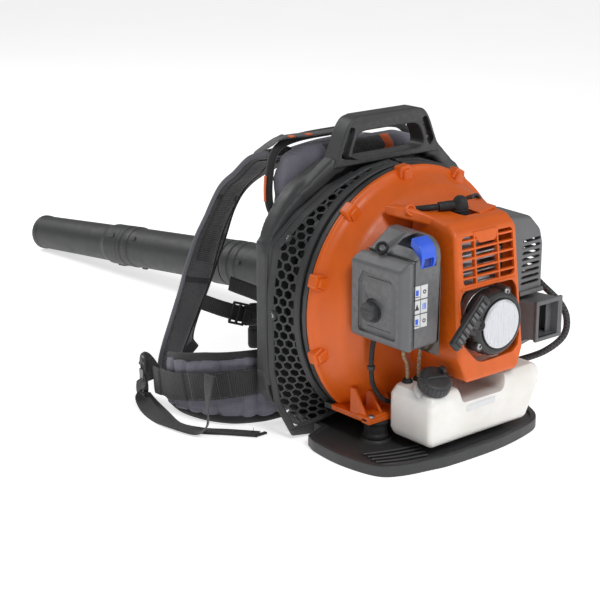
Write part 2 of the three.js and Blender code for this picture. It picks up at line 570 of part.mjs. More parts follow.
// ---------------------------------------------------------------- blow tube
function blowTube() {
  const bellows = (from, to) => {
    const folds = 5;
    const pitch = (to - from) / folds;
    const outer = [];
    for (let i = 0; i < folds; i += 1) {
      outer.push([40, from + i * pitch], [45, from + (i + 0.5) * pitch]);
    }
    outer.push([40, to]);
    return [...outer, [36, to], [36, from]];
  };
  add('bellows_rear', onTube(bellows(181, PIVOT_Y - 5), 20), BLACK);
  add('bellows_front', onTube(bellows(PIVOT_Y + 5, 290), 20), BLACK);
  const hoop = onTube([[47, 224.5], [47, 233.5], [38, 233.5], [38, 224.5]], 28);
  const centre = tubePoint(PIVOT_Y);
  const top = block(centre.x - 5, centre.x + 5, 228.5, 236, centre.z + 45, centre.z + 59);
  const side = block(centre.x + 45, centre.x + 59, 228.5, 236, centre.z - 6, centre.z + 6);
  add('hose_ring', join(hoop, top, side), DARK_GREY);

  const tubeShell = (rFrom, rTo, from, to, bead) => [
    [rFrom, from], [rFrom, to - 30], [rFrom + bead, to - 28], [rFrom + bead, to - 14],
    [rTo + bead * 0.5, to - 12], [rTo, to],
    [rTo - TUBE_WALL, to], [rFrom - TUBE_WALL, from],
  ];
  add('control_tube', onTube(tubeShell(42, 41, 290.5, 700, 1.5), 24), DARK_GREY);
  add('middle_tube', onTube(tubeShell(40, 38.5, 700.5, 1012, 1.5), 24), DARK_GREY);
  add('nozzle_tube', onTube([
    [38.5, 1012.5], [38.5, 1040], [37, 1044], [34.6, 1299.9], [32.2, 1299.9], [35.5, 1012.5],
  ], 32), DARK_GREY);

  const c = tubePoint(350);
  const strap = onTube([[46, 336], [46, 366], [42.4, 366], [42.4, 336]], 28);
  const foot = hull([
    [c.x - 16, 334, c.z + 43.5], [c.x + 16, 334, c.z + 43.5], [c.x - 16, 368, c.z + 43.5],
    [c.x + 16, 368, c.z + 43.5], [c.x - 14, 338, c.z + 56], [c.x + 14, 338, c.z + 56],
    [c.x - 14, 366, c.z + 56], [c.x + 14, 366, c.z + 56]]);
  const column = hull([
    [c.x - 14, 338, c.z + 50], [c.x + 14, 338, c.z + 50], [c.x - 14, 366, c.z + 50],
    [c.x + 14, 366, c.z + 50], [c.x - 15, 328, c.z + 160], [c.x + 15, 328, c.z + 160],
    [c.x - 15, 358, c.z + 160], [c.x + 15, 358, c.z + 160]]);
  const head = hull([
    [c.x - 17, 320, c.z + 150], [c.x + 17, 320, c.z + 150], [c.x - 17, 376, c.z + 150],
    [c.x + 17, 376, c.z + 150], [c.x - 14, 322, c.z + 176], [c.x + 14, 322, c.z + 176],
    [c.x - 14, 366, c.z + 176], [c.x + 14, 366, c.z + 176]]);
  add('control_handle', join(strap, foot, column, head), BLACK);
  const trigger = slab([
    [362.5, c.z + 149], [374, c.z + 149], [376, c.z + 140], [384, c.z + 118], [380, c.z + 108],
    [372, c.z + 128],
  ], c.x - 7, c.x + 7);
  add('throttle_trigger', trigger, DARK_GREY);
  add('cruise_lever', join(
    rod('x', 8, c.x - 24, c.x - 17 - GAP, 338, c.z + 161, 16),
    block(c.x - 24, c.x - 19, 306, 338, c.z + 157, c.z + 165)), DARK_GREY);
  add('stop_switch', block(c.x - 5, c.x + 5, 326, 338, c.z + 176 + GAP, c.z + 182), paint(0xc8281e, 0.45));
}

// ---------------------------------------------------------------- harness
function harness() {
  const pad = join(
    hull([
      [-120, 165, 130], [120, 165, 130], [-120, 190, 130], [120, 190, 130],
      [-150, 165, 200], [150, 165, 200], [-145, 198, 200], [145, 198, 200],
      [-120, 165, 300], [120, 165, 300], [-150, 200, 300], [150, 200, 300]]),
    hull([
      [-120, 178, 290], [120, 178, 290], [-150, 200, 290], [150, 200, 290],
      [-165, 184, 340], [165, 184, 340], [-160, 215, 340], [160, 215, 340],
      [-150, 190, 410], [150, 190, 410], [-146, 238, 410], [146, 238, 410],
      [-120, 200, 438], [120, 200, 438], [-120, 236, 438], [120, 236, 438]]));
  add('back_pad', pad, FABRIC);
  add('shoulder_strap_left', band([
    [-108, 248, 405], [-116, 282, 392], [-122, 312, 364], [-135, 338, 334], [-152, 364, 272],
    [-165, 371, 231], [-180, 377, 178], [-194, 388, 127], [-208, 402, 70], [-214, 405, 42],
    [-216, 404, 20],
  ], 58, 12, [1, 0, 0]), MESH_CLOTH);
  add('shoulder_strap_right', band([
    [85, 252, 400], [58, 300, 396], [16, 346, 376], [-30, 384, 348], [-62, 412, 318],
    [-78, 432, 280], [-88, 450, 225], [-104, 468, 150], [-116, 490, 78], [-112, 506, 36],
    [-100, 500, 14],
  ], 54, 11, [1, 0, 0]), MESH_CLOTH);
  const wing = (side, centres) => {
    const links = centres.slice(1).map((next, i) => hull([centres[i], next].flatMap(
      ([x, y, z0, z1, half]) => [
        [side * (x - half), y - half, z0], [side * (x + half), y + half, z0],
        [side * (x - half), y - half, z1], [side * (x + half), y + half, z1]])));
    return links;
  };
  const lumbar = hull([
    [-150, 166, 22], [128, 166, 22], [-150, 196, 22], [128, 196, 22],
    [-150, 166, 116], [128, 166, 116], [-150, 196, 116], [128, 196, 116]]);
  const leftWing = wing(-1, [
    [140, 182, 8, 118, 8], [192, 194, 5, 118, 7], [232, 216, 5, 116, 7], [254, 254, 5, 110, 6.5],
    [262, 302, 5, 99, 6], [256, 346, 9, 88, 6]]);
  const rightWing = wing(1, [
    [96, 184, 22, 116, 8], [108, 214, 8, 116, 6], [108, 262, 4, 108, 6], [96, 318, 4, 98, 6],
    [72, 368, 6, 88, 6], [30, 404, 12, 80, 6], [-10, 410, 18, 74, 5]]);
  add('hip_belt', join(lumbar, ...leftWing, ...rightWing), FABRIC);
  add('belt_strap', band([
    [-206, 184, 76], [-243, 206, 72], [-266, 248, 62], [-274, 302, 50], [-269, 348, 43], [-262, 376, 38],
  ], 44, 2.4, [0, 0, 1]), WEBBING);
  add('hip_buckle', block(-274, -252, 384, 422, 10, 62), BLACK);
  add('belt_tail', band([
    [-264, 408, 5], [-270, 384, 1.7], [-286, 328, 1.7], [-300, 270, 1.7], [-284, 226, 1.7],
    [-256, 194, 1.7], [-226, 158, 1.7],
  ], 25, 2.4), WEBBING);
  add('chest_strap', band([
    [-176, 362, 152], [-150, 338, 140], [-120, 322, 130], [-66, 330, 124], [-40, 380, 130], [-62, 440, 144],
  ], 26, 2.4, [0, 0, 1]), WEBBING);
}

frameStructure();
footPlate();
intakeGuard('intake_guard_left', 1, GUARD_STATIONS.length);
intakeGuard('intake_guard_right', -1, 6);
fanHousing();
rubberMounts();
engine();
engineShroud();
exhaust();
starter();
airFilter();
fuelSystem();
cables();
blowTube();
harness();

export default group;
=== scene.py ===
import json
import math

import bmesh
import bpy
import numpy as np
from mathutils import Matrix, Vector

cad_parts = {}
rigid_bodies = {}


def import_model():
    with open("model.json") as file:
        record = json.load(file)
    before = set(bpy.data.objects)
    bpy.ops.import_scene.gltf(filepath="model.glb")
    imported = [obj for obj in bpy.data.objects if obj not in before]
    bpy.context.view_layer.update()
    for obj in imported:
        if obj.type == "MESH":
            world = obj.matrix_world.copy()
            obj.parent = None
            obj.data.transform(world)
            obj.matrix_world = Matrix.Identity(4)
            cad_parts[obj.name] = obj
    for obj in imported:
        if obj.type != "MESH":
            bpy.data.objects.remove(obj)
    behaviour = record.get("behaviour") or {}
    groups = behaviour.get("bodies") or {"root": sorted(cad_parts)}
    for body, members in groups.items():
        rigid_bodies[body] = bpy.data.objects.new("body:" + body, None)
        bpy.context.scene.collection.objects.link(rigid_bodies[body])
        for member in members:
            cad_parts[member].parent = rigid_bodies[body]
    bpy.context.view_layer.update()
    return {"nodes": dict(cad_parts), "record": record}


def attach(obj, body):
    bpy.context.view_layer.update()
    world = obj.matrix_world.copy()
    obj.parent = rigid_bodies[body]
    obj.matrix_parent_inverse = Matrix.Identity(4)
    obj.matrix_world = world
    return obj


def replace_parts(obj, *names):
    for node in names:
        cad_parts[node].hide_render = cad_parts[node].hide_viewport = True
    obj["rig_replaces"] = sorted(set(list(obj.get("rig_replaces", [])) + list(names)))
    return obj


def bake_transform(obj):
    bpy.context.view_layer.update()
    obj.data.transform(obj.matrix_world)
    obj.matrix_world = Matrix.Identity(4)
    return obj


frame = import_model()
RECORD = frame["record"]
NODES = frame["nodes"]
BODY_OF = {n: b for b, members in RECORD["behaviour"]["bodies"].items() for n in members}
SLOT_OF = {s["node"]: s["material_slot"] for s in RECORD["subparts"]}
SCENE = bpy.context.scene
MM = 0.001
CAMERA_PLACE = (-1.621, -1.601, 0.899)
CAMERA_WAY = Vector((0.6147, 0.7326, -0.2924))
CAMERA_LENS = 96
WORLD_STRENGTH = 0.3
FLOOR_HALF = 9
LAMPS = {  # place, point aimed at, size in metres, watts
    "key": ((-0.5, -1.9, 2.5), (0, 0.1, 0.2), 0.9, 34),
    "fill": ((1.8, -2.2, 1.5), (0, 0, 0.2), 1.8, 12),
    "back": ((-0.6, 2.8, 2.2), (0, 0.3, 0.2), 1.8, 30),
}
CRANK_Z = 197  # height of the fan's and the crankshaft's axis, mm
FAN_HUB = (0, 0, CRANK_Z)
FAN_RIM = 198  # radius where the intake guards meet the fan housing


# ---------------------------------------------------------------- camera, light, floor
def make_camera():
    """The camera of the photo."""
    data = bpy.data.cameras.new("camera")
    data.lens = CAMERA_LENS
    data.sensor_width = 36
    data.clip_end = 50
    camera = bpy.data.objects.new("camera", data)
    SCENE.collection.objects.link(camera)
    camera.location = CAMERA_PLACE
    camera.rotation_euler = CAMERA_WAY.to_track_quat("-Z", "Y").to_euler()
    SCENE.camera = camera


def area_light(name, place, aim, size, watts):
    """A square lamp at a place, aimed at a point."""
    data = bpy.data.lights.new(name, "AREA")
    data.energy = watts
    data.size = size
    lamp = bpy.data.objects.new(name, data)
    SCENE.collection.objects.link(lamp)
    lamp.location = place
    lamp.rotation_euler = (Vector(aim) - Vector(place)).to_track_quat("-Z", "Y").to_euler()


def make_studio():
    """A plain grey surround with three lamps and a floor."""
    world = bpy.data.worlds.new("studio")
    world.use_nodes = True
    world.node_tree.nodes["Background"].inputs[0].default_value = (1, 1, 1, 1)
    world.node_tree.nodes["Background"].inputs[1].default_value = WORLD_STRENGTH
    SCENE.world = world
    for name, settings in LAMPS.items():
        area_light(name, *settings)
    SCENE.view_settings.view_transform = "Standard"
    corners = [(x * FLOOR_HALF, y * FLOOR_HALF, 0) for x, y in ((-1, -1), (1, -1), (1, 1), (-1, 1))]
    floor = mesh_object("floor", corners, [(0, 1, 2, 3)])
    floor.data.materials.append(floor_material())


# ---------------------------------------------------------------- node materials
class Graph:
    """A small helper round one material's node tree."""

    def __init__(self, name):
        self.material = bpy.data.materials.new(name)
        self.material.use_nodes = True
        self.tree = self.material.node_tree
        self.shader = self.tree.nodes["Principled BSDF"]

    def node(self, kind, **settings):
        made = self.tree.nodes.new(kind)
        for key, value in settings.items():
            setattr(made, key, value)
        return made

    def link(self, source, target):
        self.tree.links.new(source, target)

    def put(self, socket, value):
        if hasattr(value, "links"):
            self.link(value, socket)
        else:
            socket.default_value = value

    def coords(self, kind="Object", scale=(1, 1, 1), turn=(0, 0, 0)):
        source = self.node("ShaderNodeTexCoord").outputs[kind]
        mapping = self.node("ShaderNodeMapping")
        mapping.inputs["Scale"].default_value = scale
        mapping.inputs["Rotation"].default_value = turn
        self.link(source, mapping.inputs["Vector"])
        return mapping.outputs["Vector"]

    def noise(self, scale, detail=3.0, vector=None):
        made = self.node("ShaderNodeTexNoise")
        made.inputs["Scale"].default_value = scale
        made.inputs["Detail"].default_value = detail
        made.inputs["Roughness"].default_value = 0.55
        self.link(vector or self.coords(), made.inputs["Vector"])
        return made.outputs["Fac"]

    def voronoi(self, scale, vector=None):
        made = self.node("ShaderNodeTexVoronoi", feature="F1")
        made.inputs["Scale"].default_value = scale
        self.link(vector or self.coords(), made.inputs["Vector"])
        return made.outputs["Distance"]

    def wave(self, scale, vector, direction="X", distortion=0.0):
        made = self.node("ShaderNodeTexWave", bands_direction=direction, wave_profile="SIN")
        made.inputs["Scale"].default_value = scale
        made.inputs["Distortion"].default_value = distortion
        self.link(vector, made.inputs["Vector"])
        return made.outputs["Fac"]

    def maths(self, operation, a, b):
        made = self.node("ShaderNodeMath", operation=operation)
        for socket, value in zip(made.inputs, (a, b)):
            self.put(socket, value)
        return made.outputs[0]

    def span(self, value, low, high, out_low=0.0, out_high=1.0):
        made = self.node("ShaderNodeMapRange")
        for key, v in (("From Min", low), ("From Max", high), ("To Min", out_low), ("To Max", out_high)):
            made.inputs[key].default_value = v
        self.link(value, made.inputs["Value"])
        return made.outputs["Result"]

    def mix(self, share, a, b):
        made = self.node("ShaderNodeMix", data_type="RGBA")
        self.put(made.inputs["Factor"], share)
        for socket, colour in ((made.inputs[6], a), (made.inputs[7], b)):
            self.put(socket, colour if hasattr(colour, "links") else (*colour[:3], 1))
        return made.outputs[2]

    def bump(self, height, strength, distance):
        made = self.node("ShaderNodeBump")
        made.inputs["Strength"].default_value = strength
        made.inputs["Distance"].default_value = distance
        self.link(height, made.inputs["Height"])
        return made.outputs["Normal"]

    def edges(self):
        """Where the surface turns sharply outwards; the mask of the painted edge highlights."""
        return self.span(self.node("ShaderNodeNewGeometry").outputs["Pointiness"], 0.52, 0.6)

    def set(self, **values):
        for key, value in values.items():
            self.put(self.shader.inputs[key.replace("_", " ")], value)
        return self.material


def shade(colour, factor):
    """A colour made lighter or darker."""
    return tuple(min(1.0, c * factor) for c in colour[:3])


def moulded(name, colour, rough, grain=1400, depth=0.12, sheen_edge=1.5, coat=0.0, mottle=0.1):
    """Moulded plastic: fine tool grain, slow colour drift, a patchy painted highlight on its sharp edges and
    a little dust.
    """
    g = Graph(name)
    drift = g.span(g.noise(9, 4), 0.3, 0.7)
    base = g.mix(drift, shade(colour, 1 - mottle), shade(colour, 1 + mottle))
    flow = g.span(g.noise(38, 5, g.coords(scale=(1, 1, 0.35))), 0.42, 0.62)
    base = g.mix(g.maths("MULTIPLY", flow, 0.22), base, shade(colour, 0.8))
    # Painted highlight: sharp convex edges lightened by sheen_edge, in noisy patches.
    edge_sheen = g.maths("MULTIPLY", g.edges(), g.span(g.noise(120, 3), 0.35, 0.6))
    base = g.mix(g.maths("MULTIPLY", edge_sheen, 0.5), base, shade(colour, sheen_edge))
    dust = g.maths("MULTIPLY", g.span(g.noise(420, 6), 0.62, 0.8), 0.1)
    base = g.mix(dust, base, (0.5, 0.48, 0.45))
    fine = g.noise(grain, 2)
    pits = g.voronoi(grain * 0.7)
    roughness = g.maths("ADD", g.span(g.noise(60, 4), 0.3, 0.7, rough - 0.06, rough + 0.08), dust)
    normal = g.bump(g.maths("ADD", fine, g.maths("MULTIPLY", pits, 0.5)), depth, 0.0003)
    return g.set(Base_Color=base, Roughness=roughness, Normal=normal, Coat_Weight=coat, Coat_Roughness=0.25)


def rubber(name):
    """Black rubber with a dull bloom and a painted highlight on its sharp edges."""
    g = Graph(name)
    bloom = g.span(g.noise(70, 5), 0.45, 0.75)
    base = g.mix(g.maths("MULTIPLY", bloom, 0.5), (0.013, 0.013, 0.014), (0.045, 0.045, 0.047))
    # Painted highlight: sharp convex edges made lighter.
    base = g.mix(g.maths("MULTIPLY", g.edges(), 0.35), base, (0.08, 0.08, 0.08))
    rough = g.span(g.noise(200, 3), 0.3, 0.7, 0.55, 0.78)
    return g.set(Base_Color=base, Roughness=rough, Normal=g.bump(g.noise(1900, 3), 0.15, 0.0003))


def metal(name, colour, rough, scratch=(1, 1, 1), cast=0.0):
    """Bare metal with stains; scratch stretches its scratches and cast roughens it."""
    g = Graph(name)
    lines = g.noise(900, 3, g.coords(scale=scratch))
    stain = g.span(g.noise(45, 5), 0.4, 0.75)
    base = g.mix(g.maths("MULTIPLY", stain, 0.35), colour, shade(colour, 0.6))
    height = g.maths("ADD", lines, g.maths("MULTIPLY", g.noise(500, 5), cast * 4))
    return g.set(Base_Color=base, Metallic=1.0,
                 Roughness=g.span(lines, 0.2, 0.8, rough - 0.08, rough + 0.12),
                 Normal=g.bump(height, 0.12 + cast, 0.0003))


def tank_plastic(name):
    """Milky blow-moulded polyethylene: light gathers inside it and the surface ripples a little."""
    g = Graph(name)
    cloud = g.span(g.noise(16, 4), 0.3, 0.7)
    base = g.mix(cloud, (0.80, 0.775, 0.73), (0.93, 0.915, 0.885))
    base = g.mix(g.maths("MULTIPLY", g.span(g.noise(300, 5), 0.6, 0.8), 0.12), base, (0.55, 0.52, 0.48))
    ripple = g.maths("ADD", g.noise(55, 2), g.maths("MULTIPLY", g.noise(1500, 2), 0.12))
    g.shader.inputs["Subsurface Radius"].default_value = (1.0, 0.85, 0.7)
    return g.set(Base_Color=base, Roughness=g.span(g.noise(90, 3), 0.3, 0.7, 0.3, 0.42),
                 Subsurface_Weight=0.45, Subsurface_Scale=0.012, Normal=g.bump(ripple, 0.1, 0.0012),
                 Coat_Weight=0.15, Coat_Roughness=0.3)


def smoked_plastic(name):
    g = Graph(name)
    base = g.mix(g.span(g.noise(60, 4), 0.35, 0.7), (0.05, 0.032, 0.02), (0.11, 0.075, 0.05))
    return g.set(Base_Color=base, Roughness=g.span(g.noise(240, 4), 0.3, 0.7, 0.12, 0.26),
                 Transmission_Weight=0.35, Normal=g.bump(g.noise(400, 3), 0.05, 0.0003), Coat_Weight=0.4)


def hose_plastic(name):
    g = Graph(name)
    base = g.mix(g.span(g.noise(30, 3), 0.3, 0.7), (0.4, 0.29, 0.18), (0.48, 0.36, 0.24))
    return g.set(Base_Color=base, Roughness=g.span(g.noise(300, 3), 0.3, 0.7, 0.2, 0.35),
                 Transmission_Weight=0.25, Subsurface_Weight=0.2, Subsurface_Scale=0.003,
                 Normal=g.bump(g.noise(900, 3), 0.08, 0.0003))


def woven(name, colour, pale, yarn=2300, depth=0.6, fuzz=0.25):
    """Woven nylon: crossing yarns seen on every side of the piece, with slow fading."""
    g = Graph(name)
    plain = g.coords()
    tilt = g.coords(turn=(0.0, 0.0, math.radians(45)))
    warp = g.wave(yarn / 20, plain, "Z", distortion=0.4)
    weft = g.wave(yarn / 20, tilt, "X", distortion=0.4)
    cell = g.maths("MULTIPLY", warp, weft)
    thread = g.noise(yarn, 3)
    fade = g.span(g.noise(14, 5), 0.35, 0.7)
    base = g.mix(g.maths("MULTIPLY", fade, 0.7), colour, pale)
    base = g.mix(g.maths("MULTIPLY", cell, 0.35), base, shade(pale, 1.6))
    base = g.mix(g.maths("MULTIPLY", g.span(thread, 0.5, 0.8), 0.3), base, shade(colour, 0.4))
    height = g.maths("ADD", g.maths("MAXIMUM", warp, weft), g.maths("MULTIPLY", thread, 0.5))
    return g.set(Base_Color=base, Roughness=g.span(thread, 0.2, 0.8, 0.68, 0.9), Sheen_Weight=fuzz,
                 Sheen_Roughness=0.5, Normal=g.bump(height, depth, 0.0004))


def spacer_mesh(name):
    """Open spacer-mesh cloth laid on the bias: small round holes in rows."""
    g = Graph(name)
    uv = g.coords("UV", turn=(0, 0, math.radians(38)))
    hole = g.voronoi(430, uv)
    fine = g.wave(110, uv, "X")
    rim = g.span(hole, 0.15, 0.5)
    fade = g.span(g.noise(12, 4), 0.35, 0.7)
    thread = (0.05, 0.05, 0.054)
    base = g.mix(rim, (0.012, 0.012, 0.013), g.mix(fade, thread, shade(thread, 1.6)))
    height = g.maths("ADD", rim, g.maths("MULTIPLY", fine, 0.5))
    return g.set(Base_Color=base, Roughness=g.span(g.noise(900, 3), 0.3, 0.7, 0.75, 0.95), Sheen_Weight=0.3,
                 Normal=g.bump(height, 0.8, 0.0009))


def webbing(name):
    """Woven strap: chevron ribs across its width, seen in the strap's own UV in metres."""
    g = Graph(name)
    uv = g.coords("UV")
    along = g.wave(95, uv, "X", distortion=0.5)
    across = g.wave(260, uv, "Y")
    twill = g.wave(150, g.coords("UV", turn=(0, 0, math.radians(40))), "X")
    rib = g.maths("MULTIPLY", along, g.maths("ADD", g.maths("MULTIPLY", across, 0.6), 0.4))
    rib = g.maths("ADD", rib, g.maths("MULTIPLY", twill, 0.35))
    pale = (0.032, 0.032, 0.034)
    base = g.mix(g.span(rib, 0.2, 1.1), (0.007, 0.007, 0.008), pale)
    base = g.mix(g.maths("MULTIPLY", g.span(g.noise(500, 4), 0.55, 0.75), 0.25), base, shade(pale, 1.7))
    return g.set(Base_Color=base, Roughness=g.span(g.noise(1200, 3), 0.3, 0.7, 0.6, 0.82), Sheen_Weight=0.3,
                 Normal=g.bump(rib, 0.8, 0.0006))


def braid(name):
    """Braided sleeve on a cable, in the tube's own UV in metres."""
    g = Graph(name)
    one = g.wave(75, g.coords("UV", turn=(0, 0, math.radians(45))), "X")
    two = g.wave(75, g.coords("UV", turn=(0, 0, math.radians(-45))), "X")
    weave = g.maths("MAXIMUM", one, two)
    base = g.mix(g.span(weave, 0.4, 1.0), (0.008, 0.008, 0.008), (0.06, 0.06, 0.062))
    return g.set(Base_Color=base, Roughness=g.span(g.noise(700, 3), 0.3, 0.7, 0.42, 0.6),
                 Normal=g.bump(weave, 0.7, 0.0006))


def badge_foil(name):
    g = Graph(name)
    brushed = g.noise(700, 3, g.coords(scale=(1, 1, 0.06)))
    base = g.mix(brushed, (0.55, 0.56, 0.6), (0.72, 0.73, 0.76))
    return g.set(Base_Color=base, Metallic=0.35, Roughness=g.span(brushed, 0.3, 0.7, 0.24, 0.36),
                 Normal=g.bump(brushed, 0.05, 0.0003), Coat_Weight=0.5, Coat_Roughness=0.15)


def printed(name, colour):
    g = Graph(name)
    base = g.mix(g.span(g.noise(200, 3), 0.4, 0.7), shade(colour, 0.93), colour)
    return g.set(Base_Color=base, Roughness=g.span(g.noise(500, 3), 0.3, 0.7, 0.3, 0.42),
                 Normal=g.bump(g.noise(900, 2), 0.04, 0.0002))


def floor_material():
    g = Graph("floor_paper")
    base = g.mix(g.span(g.noise(3, 3), 0.3, 0.7), (0.9, 0.9, 0.9), (0.93, 0.93, 0.93))
    return g.set(Base_Color=base, Roughness=0.8, Normal=g.bump(g.noise(500, 2), 0.02, 0.0003),
                 Emission_Color=(1, 1, 1, 1), Emission_Strength=0.6)


LOOKS = {  # one material for each slot of the record
    "orange_plastic": moulded("orange_plastic", (0.72, 0.118, 0.004), 0.42, 1200, 0.07, 1.25, coat=0.04,
                              mottle=0.05),
    "dark_grey_plastic": moulded("dark_grey_plastic", (0.041, 0.042, 0.044), 0.46, 1500, 0.25, 1.9),
    "mid_grey_plastic": moulded("mid_grey_plastic", (0.115, 0.117, 0.122), 0.42, 1500, 0.14, 1.6, coat=0.1),
    "black_plastic": moulded("black_plastic", (0.018, 0.018, 0.019), 0.4, 1400, 0.16, 3.2, coat=0.1),
    "black_rubber": rubber("black_rubber"),
    "cast_aluminium": metal("cast_aluminium", (0.55, 0.55, 0.56), 0.4, cast=0.25),
    "steel": metal("steel", (0.5, 0.5, 0.5), 0.32, (1, 1, 0.05)),
    "tank_plastic": tank_plastic("tank_plastic"),
    "silver_badge": badge_foil("silver_badge"),
    "blue_plastic": moulded("blue_plastic", (0.03, 0.12, 0.78), 0.34, 1300, 0.06, 1.4, coat=0.15,
                            mottle=0.06),
    "smoked_plastic": smoked_plastic("smoked_plastic"),
    "filter_felt": woven("filter_felt", (0.03, 0.03, 0.03), (0.06, 0.06, 0.06), 1500, 0.8, 0.5),
    "fuel_hose": hose_plastic("fuel_hose"),
    "red_plastic": moulded("red_plastic", (0.6, 0.02, 0.012), 0.36, 1300, 0.06, 1.4),
    "pad_fabric": woven("pad_fabric", (0.115, 0.11, 0.142), (0.19, 0.183, 0.225)),
    "strap_mesh": spacer_mesh("strap_mesh"),
    "webbing": webbing("webbing"),
}
EXTRA = {  # materials of the pieces that only this scene adds
    "binding": woven("binding", (0.009, 0.009, 0.01), (0.024, 0.024, 0.027), 2600, 0.5, 0.2),
    "grey_binding": woven("grey_binding", (0.085, 0.083, 0.1), (0.13, 0.128, 0.15), 2600, 0.5, 0.2),
    "orange_cloth": woven("orange_cloth", (0.75, 0.1, 0.015), (0.88, 0.17, 0.03), 2600, 0.4, 0.25),
    "screw_steel": metal("screw_steel", (0.42, 0.42, 0.43), 0.3, (1, 1, 0.2)),
    "braid": braid("braid"),
    "pale_print": printed("pale_print", (0.78, 0.79, 0.8)),
    "dark_print": printed("dark_print", (0.05, 0.05, 0.055)),
    "dark_blue": moulded("dark_blue", (0.012, 0.03, 0.2), 0.4, 1300, 0.06, 1.4),
}


# ---------------------------------------------------------------- mesh helpers (millimetres)
def mesh_object(name, verts, faces, uvs=None):
    """A new object in the scene from corners in metres, with faces and flat coordinates if given."""
    mesh = bpy.data.meshes.new(name)
    mesh.from_pydata([tuple(v) for v in verts], [], faces)
    mesh.validate()
    made = bpy.data.objects.new(name, mesh)
    SCENE.collection.objects.link(made)
    if uvs is not None:
        layer = mesh.uv_layers.new(name="UVMap")
        for loop in mesh.loops:
            layer.data[loop.index].uv = uvs[loop.vertex_index]
    return made


def in_mm(verts):
    return [Vector(v) * MM for v in verts]


def edit_mesh(obj, change):
    """Lets change work on the object's corners, edges and faces."""
    b = bmesh.new()
    b.from_mesh(obj.data)
    change(b)
    b.to_mesh(obj.data)
    b.free()
    return obj


def face_outwards(obj):
    """Turns every face outwards."""
    return edit_mesh(obj, lambda b: bmesh.ops.recalc_face_normals(b, faces=b.faces))


def weld(obj, reach):
    """Joins corners closer than reach (in metres) and turns every face outwards."""
    def change(b):
        bmesh.ops.remove_doubles(b, verts=b.verts, dist=reach)
        bmesh.ops.recalc_face_normals(b, faces=b.faces)

    return edit_mesh(obj, change)


def apply_modifiers(obj):
    """Makes the result of the modifiers the mesh itself."""
    depsgraph = bpy.context.evaluated_depsgraph_get()
    depsgraph.update()
    mesh = bpy.data.meshes.new_from_object(obj.evaluated_get(depsgraph))
    obj.modifiers.clear()
    old = obj.data
    obj.data = mesh
    bpy.data.meshes.remove(old)
    return obj


def tidy_mesh(obj):
    """Welds the corners, joins faces that lie in one plane and turns all faces outwards."""
    def change(b):
        bmesh.ops.remove_doubles(b, verts=b.verts, dist=0.00002)
        bmesh.ops.dissolve_limit(b, angle_limit=math.radians(0.6), verts=b.verts, edges=b.edges)
        bmesh.ops.recalc_face_normals(b, faces=b.faces)

    return edit_mesh(obj, change)


def soften(obj, width=1.0, segments=2, angle=28):
    """Rounds every real edge, then smooths the shading between them."""
    if width:
        bevel = obj.modifiers.new("soft_edges", "BEVEL")
        bevel.width = width * MM
        bevel.segments = segments
        bevel.limit_method = "ANGLE"
        bevel.angle_limit = math.radians(angle)
        bevel.use_clamp_overlap = True
        bevel.miter_outer = "MITER_ARC"
        apply_modifiers(obj)
    obj.data.polygons.foreach_set("use_smooth", [True] * len(obj.data.polygons))
    obj.data.set_sharp_from_angle(angle=math.radians(angle if not width else 40))
    weighted = obj.modifiers.new("even_normals", "WEIGHTED_NORMAL")
    weighted.keep_sharp = True
    weighted.weight = 80
    return apply_modifiers(obj)


def paint(obj, look):
    """Gives the object one material."""
    obj.data.materials.clear()
    obj.data.materials.append(look)
    return obj


def joined(name, objects):
    """Joins the objects into one piece of that name."""
    base = objects[0]
    if len(objects) > 1:
        with bpy.context.temp_override(active_object=base, selected_editable_objects=objects):
            bpy.ops.object.join()
    base.name = name
    return base


def boolean(obj, cutters, operation="DIFFERENCE"):
    """Cuts the cutters out of the object unless another operation is named."""
    for cutter in cutters:
        step = obj.modifiers.new("cut", "BOOLEAN")
        step.operation = operation
        step.object = cutter
        step.solver = "EXACT"
        apply_modifiers(obj)
    for cutter in cutters:
        bpy.data.objects.remove(cutter)
    return obj


def place(obj, look, body, slot=None, replaces=()):
    """Paints a finished piece, hangs it on its body and says what it stands for."""
    if look is not None:
        paint(obj, look)
    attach(obj, body)
    if replaces:
        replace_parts(obj, *replaces)
    return obj


def stand_in(node, obj):
    """Lets a finished piece stand for a node, with the look of the node's slot and the node's body."""
    return place(obj, LOOKS[SLOT_OF[node]], BODY_OF[node], SLOT_OF[node], [node])


def cad_copy(node):
    """A new piece with the node's own mesh."""
    source = NODES[node]
    made = bpy.data.objects.new(node + "_skin", source.data.copy())
    SCENE.collection.objects.link(made)
    return tidy_mesh(made)


def block(x0, x1, y0, y1, z0, z1, name="block"):
    """A plain box between two corners (mm)."""
    verts = [(x, y, z) for x in (x0, x1) for y in (y0, y1) for z in (z0, z1)]
    faces = [(0, 1, 3, 2), (4, 6, 7, 5), (0, 4, 5, 1), (2, 3, 7, 6), (0, 2, 6, 4), (1, 5, 7, 3)]
    return face_outwards(mesh_object(name, in_mm(verts), faces))


def hull(points, name="hull"):
    """The convex shape round the points (mm)."""
    b = bmesh.new()
    for p in points:
        b.verts.new(Vector(p) * MM)
    result = bmesh.ops.convex_hull(b, input=b.verts)
    loose = [g for g in result["geom_interior"] if isinstance(g, bmesh.types.BMVert)]
    bmesh.ops.delete(b, geom=loose, context="VERTS")
    mesh = bpy.data.meshes.new(name)
    b.to_mesh(mesh)
    b.free()
    made = bpy.data.objects.new(name, mesh)
    SCENE.collection.objects.link(made)
    return tidy_mesh(made)


def basis(axis):
    """Two directions square to the axis."""
    axis = Vector(axis).normalized()
    first = Vector((0, 0, 1)) if abs(axis.z) < 0.9 else Vector((1, 0, 0))
    u = first.cross(axis).normalized()
    return u, axis.cross(u).normalized(), axis


